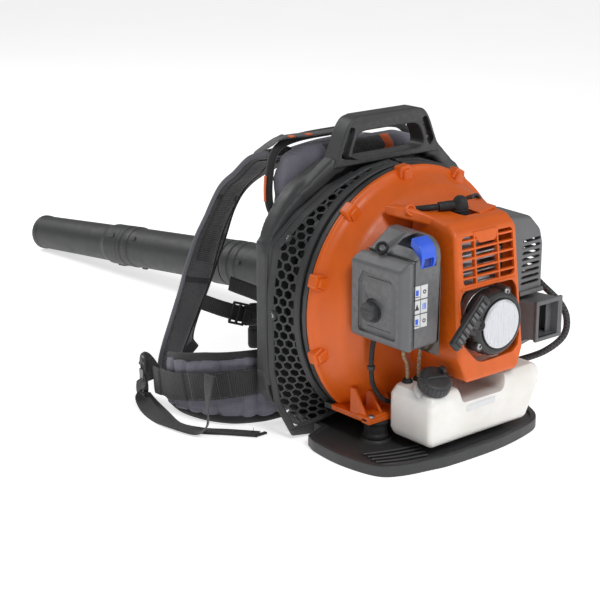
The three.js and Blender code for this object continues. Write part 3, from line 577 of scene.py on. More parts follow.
def lathe(profile, centre, axis, steps, name):
    """A turned body: profile of (radius, distance along the axis) in mm."""
    u, v, along = basis(axis)
    centre = Vector(centre)
    verts, faces, uvs = [], [], []
    rows = len(profile)
    for i in range(steps):
        t = 2 * math.pi * i / steps
        out = u * math.cos(t) + v * math.sin(t)
        for k, (r, h) in enumerate(profile):
            verts.append((centre + along * h + out * r) * MM)
            uvs.append((h * MM, t * max(r, 1) * MM))
    for i in range(steps):
        j = (i + 1) % steps
        for k in range(rows):
            n = (k + 1) % rows
            faces.append((i * rows + k, i * rows + n, j * rows + n, j * rows + k))
    return weld(mesh_object(name, verts, faces, uvs), 1e-6)


def rounded(profile, radius=1.5, steps=3):
    """A closed profile with each corner rounded."""
    out = []
    count = len(profile)
    for i, corner in enumerate(profile):
        corner = Vector(corner)
        before, after = Vector(profile[i - 1]), Vector(profile[(i + 1) % count])
        a, b = before - corner, after - corner
        if corner.x < 0.01 or a.length < 0.02 or b.length < 0.02:
            out.append(tuple(corner))
            continue
        reach = min(radius, a.length * 0.45, b.length * 0.45)
        p, q = corner + a.normalized() * reach, corner + b.normalized() * reach
        for s in range(steps + 1):
            t = s / steps
            out.append(tuple(p * (1 - t) ** 2 + corner * (2 * t * (1 - t)) + q * t * t))
    return out


def smooth_path(points, count):
    """Evenly spaced points on a smooth curve through the given ones."""
    pts = [Vector(p) for p in points]
    ends = [pts[0] * 2 - pts[1], *pts, pts[-1] * 2 - pts[-2]]
    fine = []
    for i in range(1, len(ends) - 2):
        p0, p1, p2, p3 = ends[i - 1:i + 3]
        for s in range(24):
            t = s / 24
            fine.append(0.5 * (2 * p1 + (p2 - p0) * t + (2 * p0 - 5 * p1 + 4 * p2 - p3) * t * t
                               + (3 * p1 - p0 - 3 * p2 + p3) * t ** 3))
    fine.append(pts[-1])
    lengths = np.cumsum([0] + [(b - a).length for a, b in zip(fine, fine[1:])])
    array = np.array([tuple(p) for p in fine])
    wanted = np.linspace(0, lengths[-1], count)
    return [Vector([np.interp(w, lengths, array[:, k]) for k in range(3)]) for w in wanted]


def sweep(points, section, sides_dir=None, name="swept", shape=None):
    """Carries a closed section along the points. Section points are (across, up) in mm.
    sides_dir gives the across direction per point; shape(i, share) may rescale the section."""
    count, rows = len(points), len(section)
    verts, faces, uvs = [], [], []
    length = 0.0
    side = None
    for i, p in enumerate(points):
        along = (points[min(i + 1, count - 1)] - points[max(i - 1, 0)]).normalized()
        if sides_dir is not None:
            side = Vector(sides_dir[i])
        elif side is None:
            side = basis(along)[0]
        side = (side - along * side.dot(along)).normalized()
        up = along.cross(side).normalized()
        if i:
            length += (p - points[i - 1]).length
        wide, high = shape(i, i / (count - 1)) if shape else (1, 1)
        for s, u in section:
            verts.append((p + side * (s * wide) + up * (u * high)) * MM)
            uvs.append((length * MM, s * wide * MM if rows > 10 else 0.0))
    for i in range(count - 1):
        for k in range(rows):
            n = (k + 1) % rows
            faces.append((i * rows + k, i * rows + n, (i + 1) * rows + n, (i + 1) * rows + k))
    faces.append(tuple(range(rows)))
    faces.append(tuple((count - 1) * rows + k for k in range(rows)))
    return face_outwards(mesh_object(name, verts, faces, uvs))


def round_section(radius, sides=14):
    """A round cord's section."""
    return [(radius * math.cos(2 * math.pi * k / sides),
             radius * math.sin(2 * math.pi * k / sides)) for k in range(sides)]


def strap_section(width, thick, across=10):
    """A flat band's section with rounded edges."""
    top, w = [], width / 2
    for k in range(across + 1):
        x = -w + width * k / across
        inside = max(0, abs(x) - (w - thick / 2)) ** 2 / (thick / 2) ** 2
        top.append((x, thick / 2 * math.sqrt(max(0.05, 1 - inside))))
    return top + [(x, -min(y, thick / 2)) for x, y in reversed(top)]


def oval_section(wide, high, sides):
    """An oval cord's section; wide and high are half sizes."""
    return [(wide * math.cos(t), high * math.sin(t)) for t in np.linspace(0, 2 * math.pi, sides + 1)[:-1]]


def plate(outline, plane, low, high, name="plate"):
    """An outline drawn on a plane ('x', 'y' or 'z' names the thin direction), low to high."""
    def at(p, h):
        a, b = p
        return {"x": (h, a, b), "y": (a, h, b), "z": (a, b, h)}[plane]
    n = len(outline)
    verts = [at(p, low) for p in outline] + [at(p, high) for p in outline]
    faces = [tuple(range(n)), tuple(range(2 * n - 1, n - 1, -1))]
    faces += [(i, (i + 1) % n, n + (i + 1) % n, n + i) for i in range(n)]
    return face_outwards(mesh_object(name, in_mm(verts), faces))


def screw(centre, axis, radius, depth, name):
    """A pan-head screw with a six-lobed socket."""
    u, v, a = basis(axis)
    centre = Vector(centre)
    profile = [(0.01, -1.2), (radius * 0.45, -1.2), (radius * 0.5, 0.25), (radius * 0.8, 0.2),
               (radius, -0.7), (radius, -depth), (0.01, -depth)]

    def press_lobes(b):
        for vert in b.verts:
            flat = vert.co / MM - centre
            h = flat.dot(a)
            out = flat - a * h
            if -1.3 < h < 0.3 and 0.3 * radius < out.length < 0.55 * radius:
                turn = math.atan2(flat.dot(v), flat.dot(u))
                vert.co = (centre + a * h + out * (1 + 0.16 * math.cos(6 * turn))) * MM

    head = edit_mesh(lathe(profile, centre, axis, 24, name), press_lobes)
    return soften(head, 0, angle=35)


def turned(profile, radius, corners, centre, axis, steps, name, angle):
    """A turned piece with rounded corners and smooth shading."""
    return soften(lathe(rounded(profile, radius, corners), centre, axis, steps, name), 0, angle=angle)


def flat_band(line, width, thick, sides, name):
    """A flat band with smooth shading along the line."""
    return soften(sweep(line, strap_section(width, thick), sides, name), 0, angle=70)


# ---------------------------------------------------------------- pieces
def skin(node):
    """The node's own shape with rounded edges and its slot's material."""
    return stand_in(node, soften(cad_copy(node), 1.0, 2, 28))


def paint_hidden_nodes():
    """CAD nodes that stay shown get their slot's material too."""
    for name, node in NODES.items():
        paint(node, LOOKS[SLOT_OF[name]])


# ---------------------------------------------------------------- intake guards
# (angle round the fan in degrees, the frame's edge there)
GUARD = [
    (91, (-5, 121, 397)), (105, (-58, 121, 392)), (122, (-118, 122, 372)), (139, (-170, 128, 338)),
    (156, (-208, 143, 294)), (173, (-214, 149, 225)), (190, (-214, 149, 160)), (207, (-213, 149, 100)),
    (222, (-209, 140, 50)), (236, (-199, 114, 8)),
]
GUARD_ARC = 214.0  # mean radius that turns an angle into a length along the guard


def guard_point(degrees, share, side, lift=0.0):
    """A point of the guard's face: share 0 is the fan's rim and 1 the frame's edge."""
    angles = [a for a, _ in GUARD]
    t = math.radians(degrees)
    inner = Vector((side * FAN_RIM * math.cos(t), 97, CRANK_Z + FAN_RIM * math.sin(t)))
    edge = [float(np.interp(degrees, angles, [e[k] for _, e in GUARD])) for k in range(3)]
    outer = Vector((side * edge[0], edge[1] - 0.3, edge[2]))
    out = inner.lerp(outer, share)
    bulge = 4 * share * (1 - share)
    return out + Vector((side * math.cos(t), 0, math.sin(t))) * (lift - 1.2 + 1.4 * bulge)


def guard_width(degrees):
    """How wide the guard is at that angle round the fan (mm)."""
    return (guard_point(degrees, 1, 1) - guard_point(degrees, 0, 1)).length


def hex_guard(name, side, last_angle, node):
    """A guard of hexagon mesh with a rim round it, laid on the curved face between fan and frame."""
    first, pitch, rib, border = 91.0, 15.2, 3.3, 5.5
    radius = pitch / math.sqrt(3)
    row_step = radius * 1.5
    verts, faces = [], []

    def put(along, across):
        degrees = min(max(first + math.degrees(along / GUARD_ARC), first), last_angle)
        width = guard_width(degrees)
        across = min(max(across, border * 0.5), width - border * 0.5)
        verts.append(guard_point(degrees, across / width, side) * MM)
        return len(verts) - 1

    length = math.radians(last_angle - first) * GUARD_ARC
    rows = int(length / row_step) + 2
    for row in range(rows):
        along = row * row_step
        width = guard_width(min(first + math.degrees(along / GUARD_ARC), last_angle))
        for col in range(-1, int(width / pitch) + 2):
            across = (col + 0.5 * (row % 2)) * pitch + width / 2 % pitch
            spots = [(along + radius * math.cos(k * math.pi / 3),
                      across + radius * math.sin(k * math.pi / 3)) for k in range(6)]
            if across < -pitch * 0.45 or across > width + pitch * 0.45 or along > length + radius * 0.6:
                continue
            ring_out = [put(*s) for s in spots]
            inner = radius - rib / math.sqrt(3)
            spots = [(along + inner * math.cos(k * math.pi / 3),
                      across + inner * math.sin(k * math.pi / 3)) for k in range(6)]
            open_across = border * 0.9 < across < width - border * 0.9
            open_along = radius * 0.5 < along < length - radius * 0.5
            if not (open_across and open_along):
                faces.append(tuple(ring_out))
                continue
            ring_in = [put(*s) for s in spots]
            faces += [(ring_out[k], ring_out[(k + 1) % 6], ring_in[(k + 1) % 6],
                       ring_in[k]) for k in range(6)]
    def close_gaps(b):
        bmesh.ops.remove_doubles(b, verts=b.verts, dist=0.0006)
        bmesh.ops.dissolve_degenerate(b, edges=b.edges, dist=0.0002)
        bmesh.ops.recalc_face_normals(b, faces=b.faces)

    net = edit_mesh(mesh_object(name + "_net", verts, faces), close_gaps)
    shell = net.modifiers.new("thick", "SOLIDIFY")
    shell.thickness = 0.0034
    shell.offset = 0
    apply_modifiers(net)
    angles = [first + (last_angle - first) * i / 70 for i in range(71)]
    section = strap_section(border * 2.0, 5.4, 6)
    strips = []
    for label, share, inset in (("inner", 0.0, border * 0.8), ("outer", 1.0, -border * 0.8)):
        line, sides = [], []
        for a in angles:
            width = guard_width(a)
            line.append(guard_point(a, share + inset / width, side, 0.5))
            sides.append(guard_point(a, 1, side) - guard_point(a, 0, side))
        strips.append(sweep(line, section, sides, name + "_" + label))
    line = [guard_point(a, 1 + 4.5 / guard_width(a), side, -1.5) for a in angles[8:60]]
    ways = [guard_point(a, 1, side) - guard_point(a, 0, side) for a in angles[8:60]]
    strips.append(sweep(line, strap_section(15, 4.0, 6), ways, name + "_flange"))
    for a in (first + 1.2, last_angle - 1.2):
        shares = [i / 12 for i in range(13)]
        line = [guard_point(a, 0.03 + 0.94 * s, side, 0.5) for s in shares]
        along = guard_point(min(a + 1, last_angle), 0.5, side) - guard_point(a - 1, 0.5, side)
        strips.append(sweep(line, strap_section(8, 5, 6), [along] * 13, name + "_end"))
    if last_angle > 230:
        tip, inward = guard_point(last_angle, 1, side), guard_point(last_angle, 0.58, side)
        low = [tip + Vector((0, 0, -3)), tip.lerp(inward, 1.0) + Vector((0, 0, -15)), inward,
               tip + Vector((-2 * side, 0, 6))]
        foot = hull([p + Vector((0, k, 0)) for p in low for k in (-2.6, 2.6)], name + "_foot")
        strips.append(soften(foot, 1.2, 2))
    bosses = []
    for a, share in ((150, 0.86), (182, 0.86), (230, 0.7)):
        if a < last_angle:
            centre = guard_point(a, share, side, 3.2)
            normal = Vector((side * math.cos(math.radians(a)), 0, math.sin(math.radians(a))))
            bosses.append(lathe([(0.01, -5), (8.5, -5), (8.5, -0.6), (7.8, 0.3), (5.6, 0.3), (5.2, -1.6),
                                 (0.01, -1.6)], centre, normal, 28, name + "_boss"))
            heads = screw(centre + normal * -0.6, normal, 4.4, 1.4, name + "_head")
            GUARD_SCREWS.append(heads)
    made = joined(name, [net, *strips, *bosses])
    soften(made, 0.45, 1, 35)
    return place(made, LOOKS["dark_grey_plastic"], "backpack_unit", "dark_grey_plastic", [node])


GUARD_SCREWS = []


# ---------------------------------------------------------------- fan housing
def on_rim(degrees, radius, y):
    """A point on a circle round the fan axis."""
    t = math.radians(degrees)
    return Vector((radius * math.cos(t), y, CRANK_Z + radius * math.sin(t)))


def fan_housing():
    """The orange front of the fan housing with its rim, lugs and flange screws."""
    profile = rounded([(60, 12), (100, 10), (148, 16), (175, 36), (188, 64), (193, 69), (200, 72),
                       (200, 79.8), (184, 79.8), (182, 68), (170, 40), (145, 21), (100, 15), (60, 17)], 7,
                      4)
    dome = lathe(profile, FAN_HUB, (0, 1, 0), 150, "dome")
    duct = lathe(rounded([(0.01, 34), (24, 38), (40, 50), (46, 64), (46, 79.8), (0.01, 79.8)], 6, 4),
                 (190, 0, 126), (0, 1, 0), 64, "duct")
    dome = boolean(dome, [duct], "UNION")
    dome = boolean(dome, [block(-260, 260, -20, 200, -30, 46)])
    soften(dome, 0, angle=40)
    parts = [dome]
    floor = plate([(-200, 79.8), (-196, 40), (-186, 22), (-152, 20), (-152, -6), (-88, -6), (-86, 22),
                   (86, 22), (88, -6), (152, -6), (152, 24), (150, 79.8)], "z", 46, 54, "lower_flange")
    floor = boolean(floor, [block(-260, -150, 10, 90, 40, 60)])
    parts.append(soften(floor, 2.2, 3))
    for side in (-1, 1):
        x0, x1 = sorted((side * 152, side * 88))
        parts.append(soften(block(x0, x1, -3.6, 23, 47, 57, "foot_lug"), 3, 3))
    for x, y0, top, width in ((-146, 26, 92, 5), (-120, 20, 84, 5), (-94, 18, 76, 5), (94, 18, 76, 5),
                              (146, 26, 92, 5)):
        gusset = plate([(y0 - 22, 52), (y0 + 14, 52), (y0 + 14, top), (y0 + 4, top)], "x", x - width / 2,
                       x + width / 2, "gusset")
        parts.append(soften(gusset, 1.4, 2))
    for angle in (29, 62.6, 96.2, 129.8, 163.4, 197):
        for y0, y1, half, low, high in ((62, 79, 13, -10, 8.5), (57.5, 66, 9, -14, 3.5)):
            lug = block(-half, half, y0, y1, low, high, "lug")
            for vert in lug.data.vertices:
                if vert.co.z > 0:
                    vert.co.x *= 0.72
            lug.data.transform(Matrix.Rotation(math.radians(90 - angle), 4, "Y"))
            lug.data.transform(Matrix.Translation(on_rim(angle, 197, 0) * MM))
            parts.append(soften(lug, 2.6, 3))
    rim_seam = lathe(rounded([(193.5, 70.2), (196.5, 70.2), (196.5, 73.4), (193.5, 73.4)], 1.2, 3), FAN_HUB,
                     (0, 1, 0), 150, "rim_bead")
    rim_seam = boolean(rim_seam, [block(-260, 260, -20, 200, -30, 47)])
    parts.append(soften(rim_seam, 0, angle=50))
    made = joined("fan_housing_shell", parts)
    stand_in("fan_housing_front", made)
    flange_screws = [screw((x, -1, 58.4), (0, 0, 1), 5, 3, "flange_screw") for x in (-143, -97, 97, 143)]
    place(joined("flange_screws", flange_screws), EXTRA["screw_steel"], "backpack_unit")


# ---------------------------------------------------------------- frame, handle and foot
def smooth_skin(obj, voxel, passes):
    """Evens out a moulded shell, so that its facets flow into each other."""
    even = obj.modifiers.new("even", "REMESH")
    even.mode = "VOXEL"
    even.voxel_size = voxel * MM
    flow = obj.modifiers.new("flow", "SMOOTH")
    flow.factor = 0.5
    flow.iterations = passes
    apply_modifiers(obj)
    obj.data.polygons.foreach_set("use_smooth", [True] * len(obj.data.polygons))
    return obj


def frame_and_handle():
    """The back frame and its carrying handle."""
    frame_skin = soften(cad_copy("backpack_frame"), 3.5, 3, 20)
    flows = []
    for side in (-1, 1):
        flows.append(hull([(side * x, y, z) for x, y, z in ((78, 126, 396), (108, 126, 396), (78, 158, 396),
                                                            (108, 158, 396), (84, 128, 413),
                                                            (105, 128, 413), (84, 150, 413),
                                                            (105, 150, 413), (150, 137, 366),
                                                            (152, 160, 366), (146, 136, 378),
                                                            (148, 158, 378))], "leg_flow"))
    boolean(frame_skin, flows, "UNION")
    smooth_skin(frame_skin, 2.8, 7)
    parts = [frame_skin]
    for side in (-1, 1):
        parts.append(rounded_box(*sorted((side * 211.5, side * 218)), 154, 172, 92, 100, 1.5, 3,
                                 "edge_slot"))
    stand_in("backpack_frame", joined("backpack_frame_shell", parts))

    outline = [(108, 398), (105, 407), (100, 417), (93, 433), (86, 449), (79, 460), (71, 467), (58, 470.5)]
    outline = smooth_path([(x, z, 0) for x, z in outline], 26)
    outline = [(p.x, p.y) for p in outline]
    outline = outline + [(-x, z) for x, z in reversed(outline)]
    handle = plate(outline, "y", 123, 154, "handle_bar")
    hole = [(69, 411), (72, 417), (69, 428), (63, 439), (56, 445), (46, 447)]
    hole = [(p.x, p.y) for p in smooth_path([(x, z, 0) for x, z in hole], 16)]
    hand = plate([(60, 408)] + hole + [(-x, z) for x, z in reversed(hole)] + [(-60, 408)], "y", 90, 190,
                 "hand_hole")
    handle = boolean(handle, [hand])
    cutters = []
    for side in (-1, 1):
        low, high = Vector((side * 88, 0, 416)), Vector((side * 74, 0, 450))
        lean = (high - low).normalized()
        across = Vector((lean.z, 0, -lean.x))
        shape = [low - across * 7, low - across * 4.6 - lean * 6, low + across * 4.6 - lean * 6,
                 low + across * 7, high + across * 6, high + across * 4 + lean * 5,
                 high - across * 4 + lean * 5, high - across * 6]
        cutters.append(plate([(p.x, p.z) for p in shape], "y", 110, 133, "pocket"))
    soften(handle, 10, 6, 30)
    handle = boolean(handle, cutters)
    soften(handle, 1.6, 3, 38)
    place(handle, LOOKS["dark_grey_plastic"], "backpack_unit", "black_plastic", ["carry_handle"])
    handle.name = "carry_handle_shell"
    heads, cores = [], []
    for side in (-1, 1):
        low, high = Vector((side * 88, 131, 416)), Vector((side * 74, 131, 450))
        for share in (0.1, 0.85):
            heads.append(screw(low.lerp(high, share), (0, -1, 0), 3.8, 2.5, "handle_screw"))
        rod = [low.lerp(high, 0.28) + Vector((0, 1, 0)), low.lerp(high, 0.68) + Vector((0, 1, 0))]
        cores.append(soften(sweep(smooth_path(rod, 8), round_section(3.2, 14), name="handle_core"), 0,
                            angle=50))
    place(joined("handle_screws", heads), EXTRA["screw_steel"], "backpack_unit")
    place(joined("handle_cores", cores), LOOKS["black_plastic"], "backpack_unit")


FOOT = [
    (-156, 172), (-156, 94), (-196, 79), (-206, 51), (-210, -9), (-198, -70), (-171, -93), (-121, -106),
    (-81, -112), (13, -112), (90, -99), (124, -82), (146, -48), (166, 0), (200, 60), (196, 79), (156, 94),
    (156, 172),
]


def inset_outline(points, amount):
    """The outline moved inwards by the amount, corner by corner."""
    out = []
    count = len(points)
    for i, p in enumerate(points):
        p = Vector(p)
        a, b = (p - Vector(points[i - 1])).normalized(), (Vector(points[(i + 1) % count]) - p).normalized()
        n = (Vector((-a.y, a.x)) + Vector((-b.y, b.x)))
        n = n.normalized() * (amount / max(0.45, (n.normalized()).dot(Vector((-a.y, a.x)))))
        out.append(tuple(p + n))
    return out


def foot_plate():
    """The foot with its lugs, and the rubber mounts on it."""
    ends = smooth_path([(x, y, 0) for x, y in FOOT[2:17]], 110)
    dense = [FOOT[0], FOOT[1]] + [(p.x, p.y) for p in ends] + [FOOT[17]]
    base = plate(dense, "z", 0, 11, "foot_base")
    rim_in = inset_outline(dense, 9)
    if abs(rim_in[40][0]) > abs(dense[40][0]):
        rim_in = inset_outline(dense, -9)
    upper = plate(dense, "z", 10.5, 17, "foot_upper")
    upper = boolean(upper, [plate(rim_in, "z", 13.2, 30, "foot_well")])
    base = boolean(base, [upper], "UNION")
    soften(base, 2.4, 3, 40)
    parts = [base]
    for x in (-122, 122):
        parts.append(turned([(0.01, 12), (24, 12), (22, 16.8), (0.01, 16.8)], 1.5, 3, (x, 12, 0), (0, 0, 1),
                            48, "mount_seat", 40))
    for k in range(5):
        a = Vector((-189 + 2 * k, -70 + 11 * k, 15.6))
        b = Vector((-118 + 6 * k, -97 + 11 * k, 15.6))
        parts.append(soften(sweep(smooth_path([a, a.lerp(b, 0.5) + Vector((-2, -3, 0)), b], 16),
                                  strap_section(4.2, 3.2, 6), [Vector((0.3, 1, 0))] * 16, "tread"), 0,
                            angle=50))
    for y in (40, 70, 100):
        parts.append(soften(block(-92, 92, y - 2, y + 2, 12, 16.5, "stiffener"), 1, 2))
    stand_in("foot_plate", joined("foot_plate_shell", parts))
    for name, x in (("rubber_mount_left", -122), ("rubber_mount_right", 122)):
        mount = lathe(rounded([(0.01, 17.3), (20, 17.3), (20, 22), (17.5, 25), (17.5, 38), (20, 41),
                               (20, 45.7), (0.01, 45.7)], 1.2, 3), (x, 12, 0), (0, 0, 1), 56,
                      name + "_body")
        place(soften(mount, 0, angle=50), LOOKS["black_rubber"], "backpack_unit", "black_rubber", [name])


# ---------------------------------------------------------------- engine shroud
def shroud_hull(inset, back, bottom):
    """The shroud's outer shape, moved inwards by inset mm."""
    i = inset
    rows = [(-58, -109, bottom), (46, -109, bottom), (-70, -104, 150), (63, -104, 150), (-65, -83, 330 - i),
            (61, -83, 330 - i), (-61, -67, 345 - i), (57, -67, 345 - i)]
    points = [(x + i if x < 0 else x - i, y + i, z) for x, y, z in rows]
    points += [(x + i if x < 0 else x - i, back, z) for x, z in (
        (-64, 351 - i), (60, 351 - i), (-70, 150), (63, 150), (-58, bottom), (46, bottom))]
    return hull(points, "shroud_hull")


def face_y(z):
    """The Y of the shroud's front face at the height z."""
    return -104 + 21 * (z - 150) / 180


def engine_shroud():
    """The orange cover over the engine, with its grille."""
    shell = soften(shroud_hull(0, 6, 117), 9, 5, 16)
    starter_bay = [(-62, 236), (-56, 247), (-46, 251), (38, 251), (48, 248), (54, 238), (55, 168),
                   (50, 152), (38, 144), (-24, 142), (-36, 146), (-60, 172)]
    window = [(-53, 262), (-50, 257), (48, 257), (52, 261), (52, 322), (49, 326), (-48, 326), (-52, 322)]
    bay = soften(plate(starter_bay, "y", -140, -70, "starter_bay"), 3, 3, 20)
    grille = soften(plate(window, "y", -140, -50, "grille_window"), 2, 3, 20)
    mouth = soften(plate([(-14, -52), (14, -52), (17, -44), (17, -22), (10, -16), (-10, -16), (-17, -22),
                          (-17, -44)], "z", 335, 380, "plug_mouth"), 2, 3, 20)
    side_cut = block(-90, -50, -58, -4, 205, 278)
    boolean(shell, [shroud_hull(3.2, 20, 105), bay, grille, mouth, side_cut,
                    block(50, 75, -60, 8, 205, 300)])
    soften(shell, 1.1, 3, 44)
    parts = [shell]
    for z in (266, 279.5, 293, 306.5, 319):
        front = face_y(z)
        bar = hull([(-55, front + 0.6, z - 1.7), (54, front + 0.6, z - 1.7), (-55, front + 0.2, z + 1.7),
                    (54, front + 0.2, z + 1.7), (-55, front + 7.5, z - 1.2), (54, front + 7.5, z - 1.2),
                    (-55, front + 7.5, z + 1.2), (54, front + 7.5, z + 1.2)], "grille_bar")
        parts.append(soften(bar, 0.9, 2))
    for x in (-26, 21):
        bar = hull([(x + d, face_y(z) + k, z) for d in (-1.6, 1.6) for z in (254, 328) for k in (-0.2, 7)],
                   "grille_post")
        parts.append(soften(bar, 0.9, 2))
    tab = hull([(x, face_y(z) + k, z) for x, z in ((-29, 331), (21, 331), (14, 313), (-16, 313), (18, 317),
                                                   (-20, 317)) for k in (-1.0, 5)], "grille_tab")
    parts.append(soften(tab, 1.8, 3))
    ledge = hull([(-60, face_y(252) - 3, 253), (52, face_y(252) - 3, 253), (-60, face_y(252) + 3, 257),
                  (52, face_y(252) + 3, 257), (-58, face_y(252) + 9, 250), (50, face_y(252) + 9, 250),
                  (-58, face_y(252) - 2, 249.6), (50, face_y(252) - 2, 249.6)], "ledge")
    parts.append(soften(ledge, 1.6, 3))
    arm = hull([(-58, -40, 334), (-58, -40, 347), (-58, 6, 336), (-58, 6, 350), (-76, -8, 347),
                (-76, -8, 361), (-96, 4, 347), (-96, 4, 361), (-96, 29, 347), (-96, 29, 359),
                (-76, 27, 347), (-76, 27, 359)], "arm")
    parts.append(soften(arm, 3.4, 4))
    socket = lathe(rounded([(0.01, -6), (9.5, -6), (8.8, 3.4), (5.8, 3.4), (5.0, 0), (0.01, 0)], 1, 2),
                   (-80, -8, 356), (-0.1, -0.9, 0.42), 36, "arm_socket")
    parts.append(soften(socket, 0, angle=40))
    far_arm = hull([(54, -40, 336), (54, -40, 347), (54, 6, 336), (54, 6, 350), (80, 2, 337), (80, 2, 349),
                    (80, 19, 337), (80, 19, 349)], "far_arm")
    parts.append(soften(far_arm, 3, 3))
    rail = hull([(10, -56, 348), (54, -50, 350), (16, -56, 344), (56, -46, 344), (14, -8, 351.5),
                 (52, -4, 352.5), (14, -8, 346), (54, -4, 346)], "roof_step")
    parts.append(soften(rail, 1.4, 3))
    made = joined("engine_shroud_shell", parts)
    stand_in("engine_shroud", made)
    boss = lathe(rounded([(0.01, -12), (9.5, -12), (8.6, 8), (5, 8), (4.5, 3), (0.01, 3)], 1, 2),
                 (64, 6, 347), (-0.1, -0.9, 0.42), 32, "right_arm_boss")
    place(soften(boss, 0, angle=40), LOOKS["dark_grey_plastic"], "backpack_unit", "dark_grey_plastic")
    heads = [screw((-80, -8.6, 356.4), (-0.1, -0.9, 0.42), 4.4, 2.2, "arm_screw")]
    place(joined("shroud_screws", heads), EXTRA["dark_print"], "backpack_unit")


# ---------------------------------------------------------------- spark plug boot
def plug_boot():
    """The rubber boot over the spark plug."""
    parts = [lathe(rounded([(0.01, 333), (15, 333), (15, 338), (12, 342), (12, 356), (10.5, 364),
                            (6.5, 369.5), (0.01, 371)], 2.8, 4), (-3, -31, 0), (0, 0, 1), 48, "boot_dome")]
    for z in (344, 348.5, 353):
        parts.append(lathe(rounded([(10.6, z), (13.2, z + 0.6), (13.2, z + 1.6), (10.6, z + 2.2)], 0.5, 2),
                           (-3, -31, 0), (0, 0, 1), 48, "boot_ring"))
    sleeve = smooth_path([(-6, -30, 357), (-18, -24, 356.5), (-32, -17, 355.5)], 16)
    parts.append(sweep(sleeve, round_section(7.2, 20), name="boot_sleeve"))
    lead = smooth_path([(-26, -20, 356), (-40, -12, 355), (-54, 0, 353), (-60, 14, 350), (-60, 30, 346)], 30)
    parts.append(sweep(lead, round_section(4.6, 16), name="boot_lead"))
    for p in parts:
        soften(p, 0, angle=50)
    stand_in("spark_plug_boot", joined("spark_plug_boot_skin", parts))


# ---------------------------------------------------------------- air filter and choke
LEVER_Y, LEVER_Z = -58, 308


def rounded_box(x0, x1, y0, y1, z0, z1, radius=1.0, segments=3, name="rounded_box"):
    """A box between two corners with rounded edges (mm)."""
    return soften(block(x0, x1, y0, y1, z0, z1, name), radius, segments)


def cable_line(points, radius, count, name):
    """A smooth round line through the points (mm)."""
    return soften(sweep(smooth_path(points, count), round_section(radius, 14), name=name), 0, angle=60)


KNOB_SPOT = (0, -24, 228)
SCREW_SCALLOP = ((-150, -24, 317), (0.87, -0.2, 0.44))  # the filter screw's well: its foot and its way


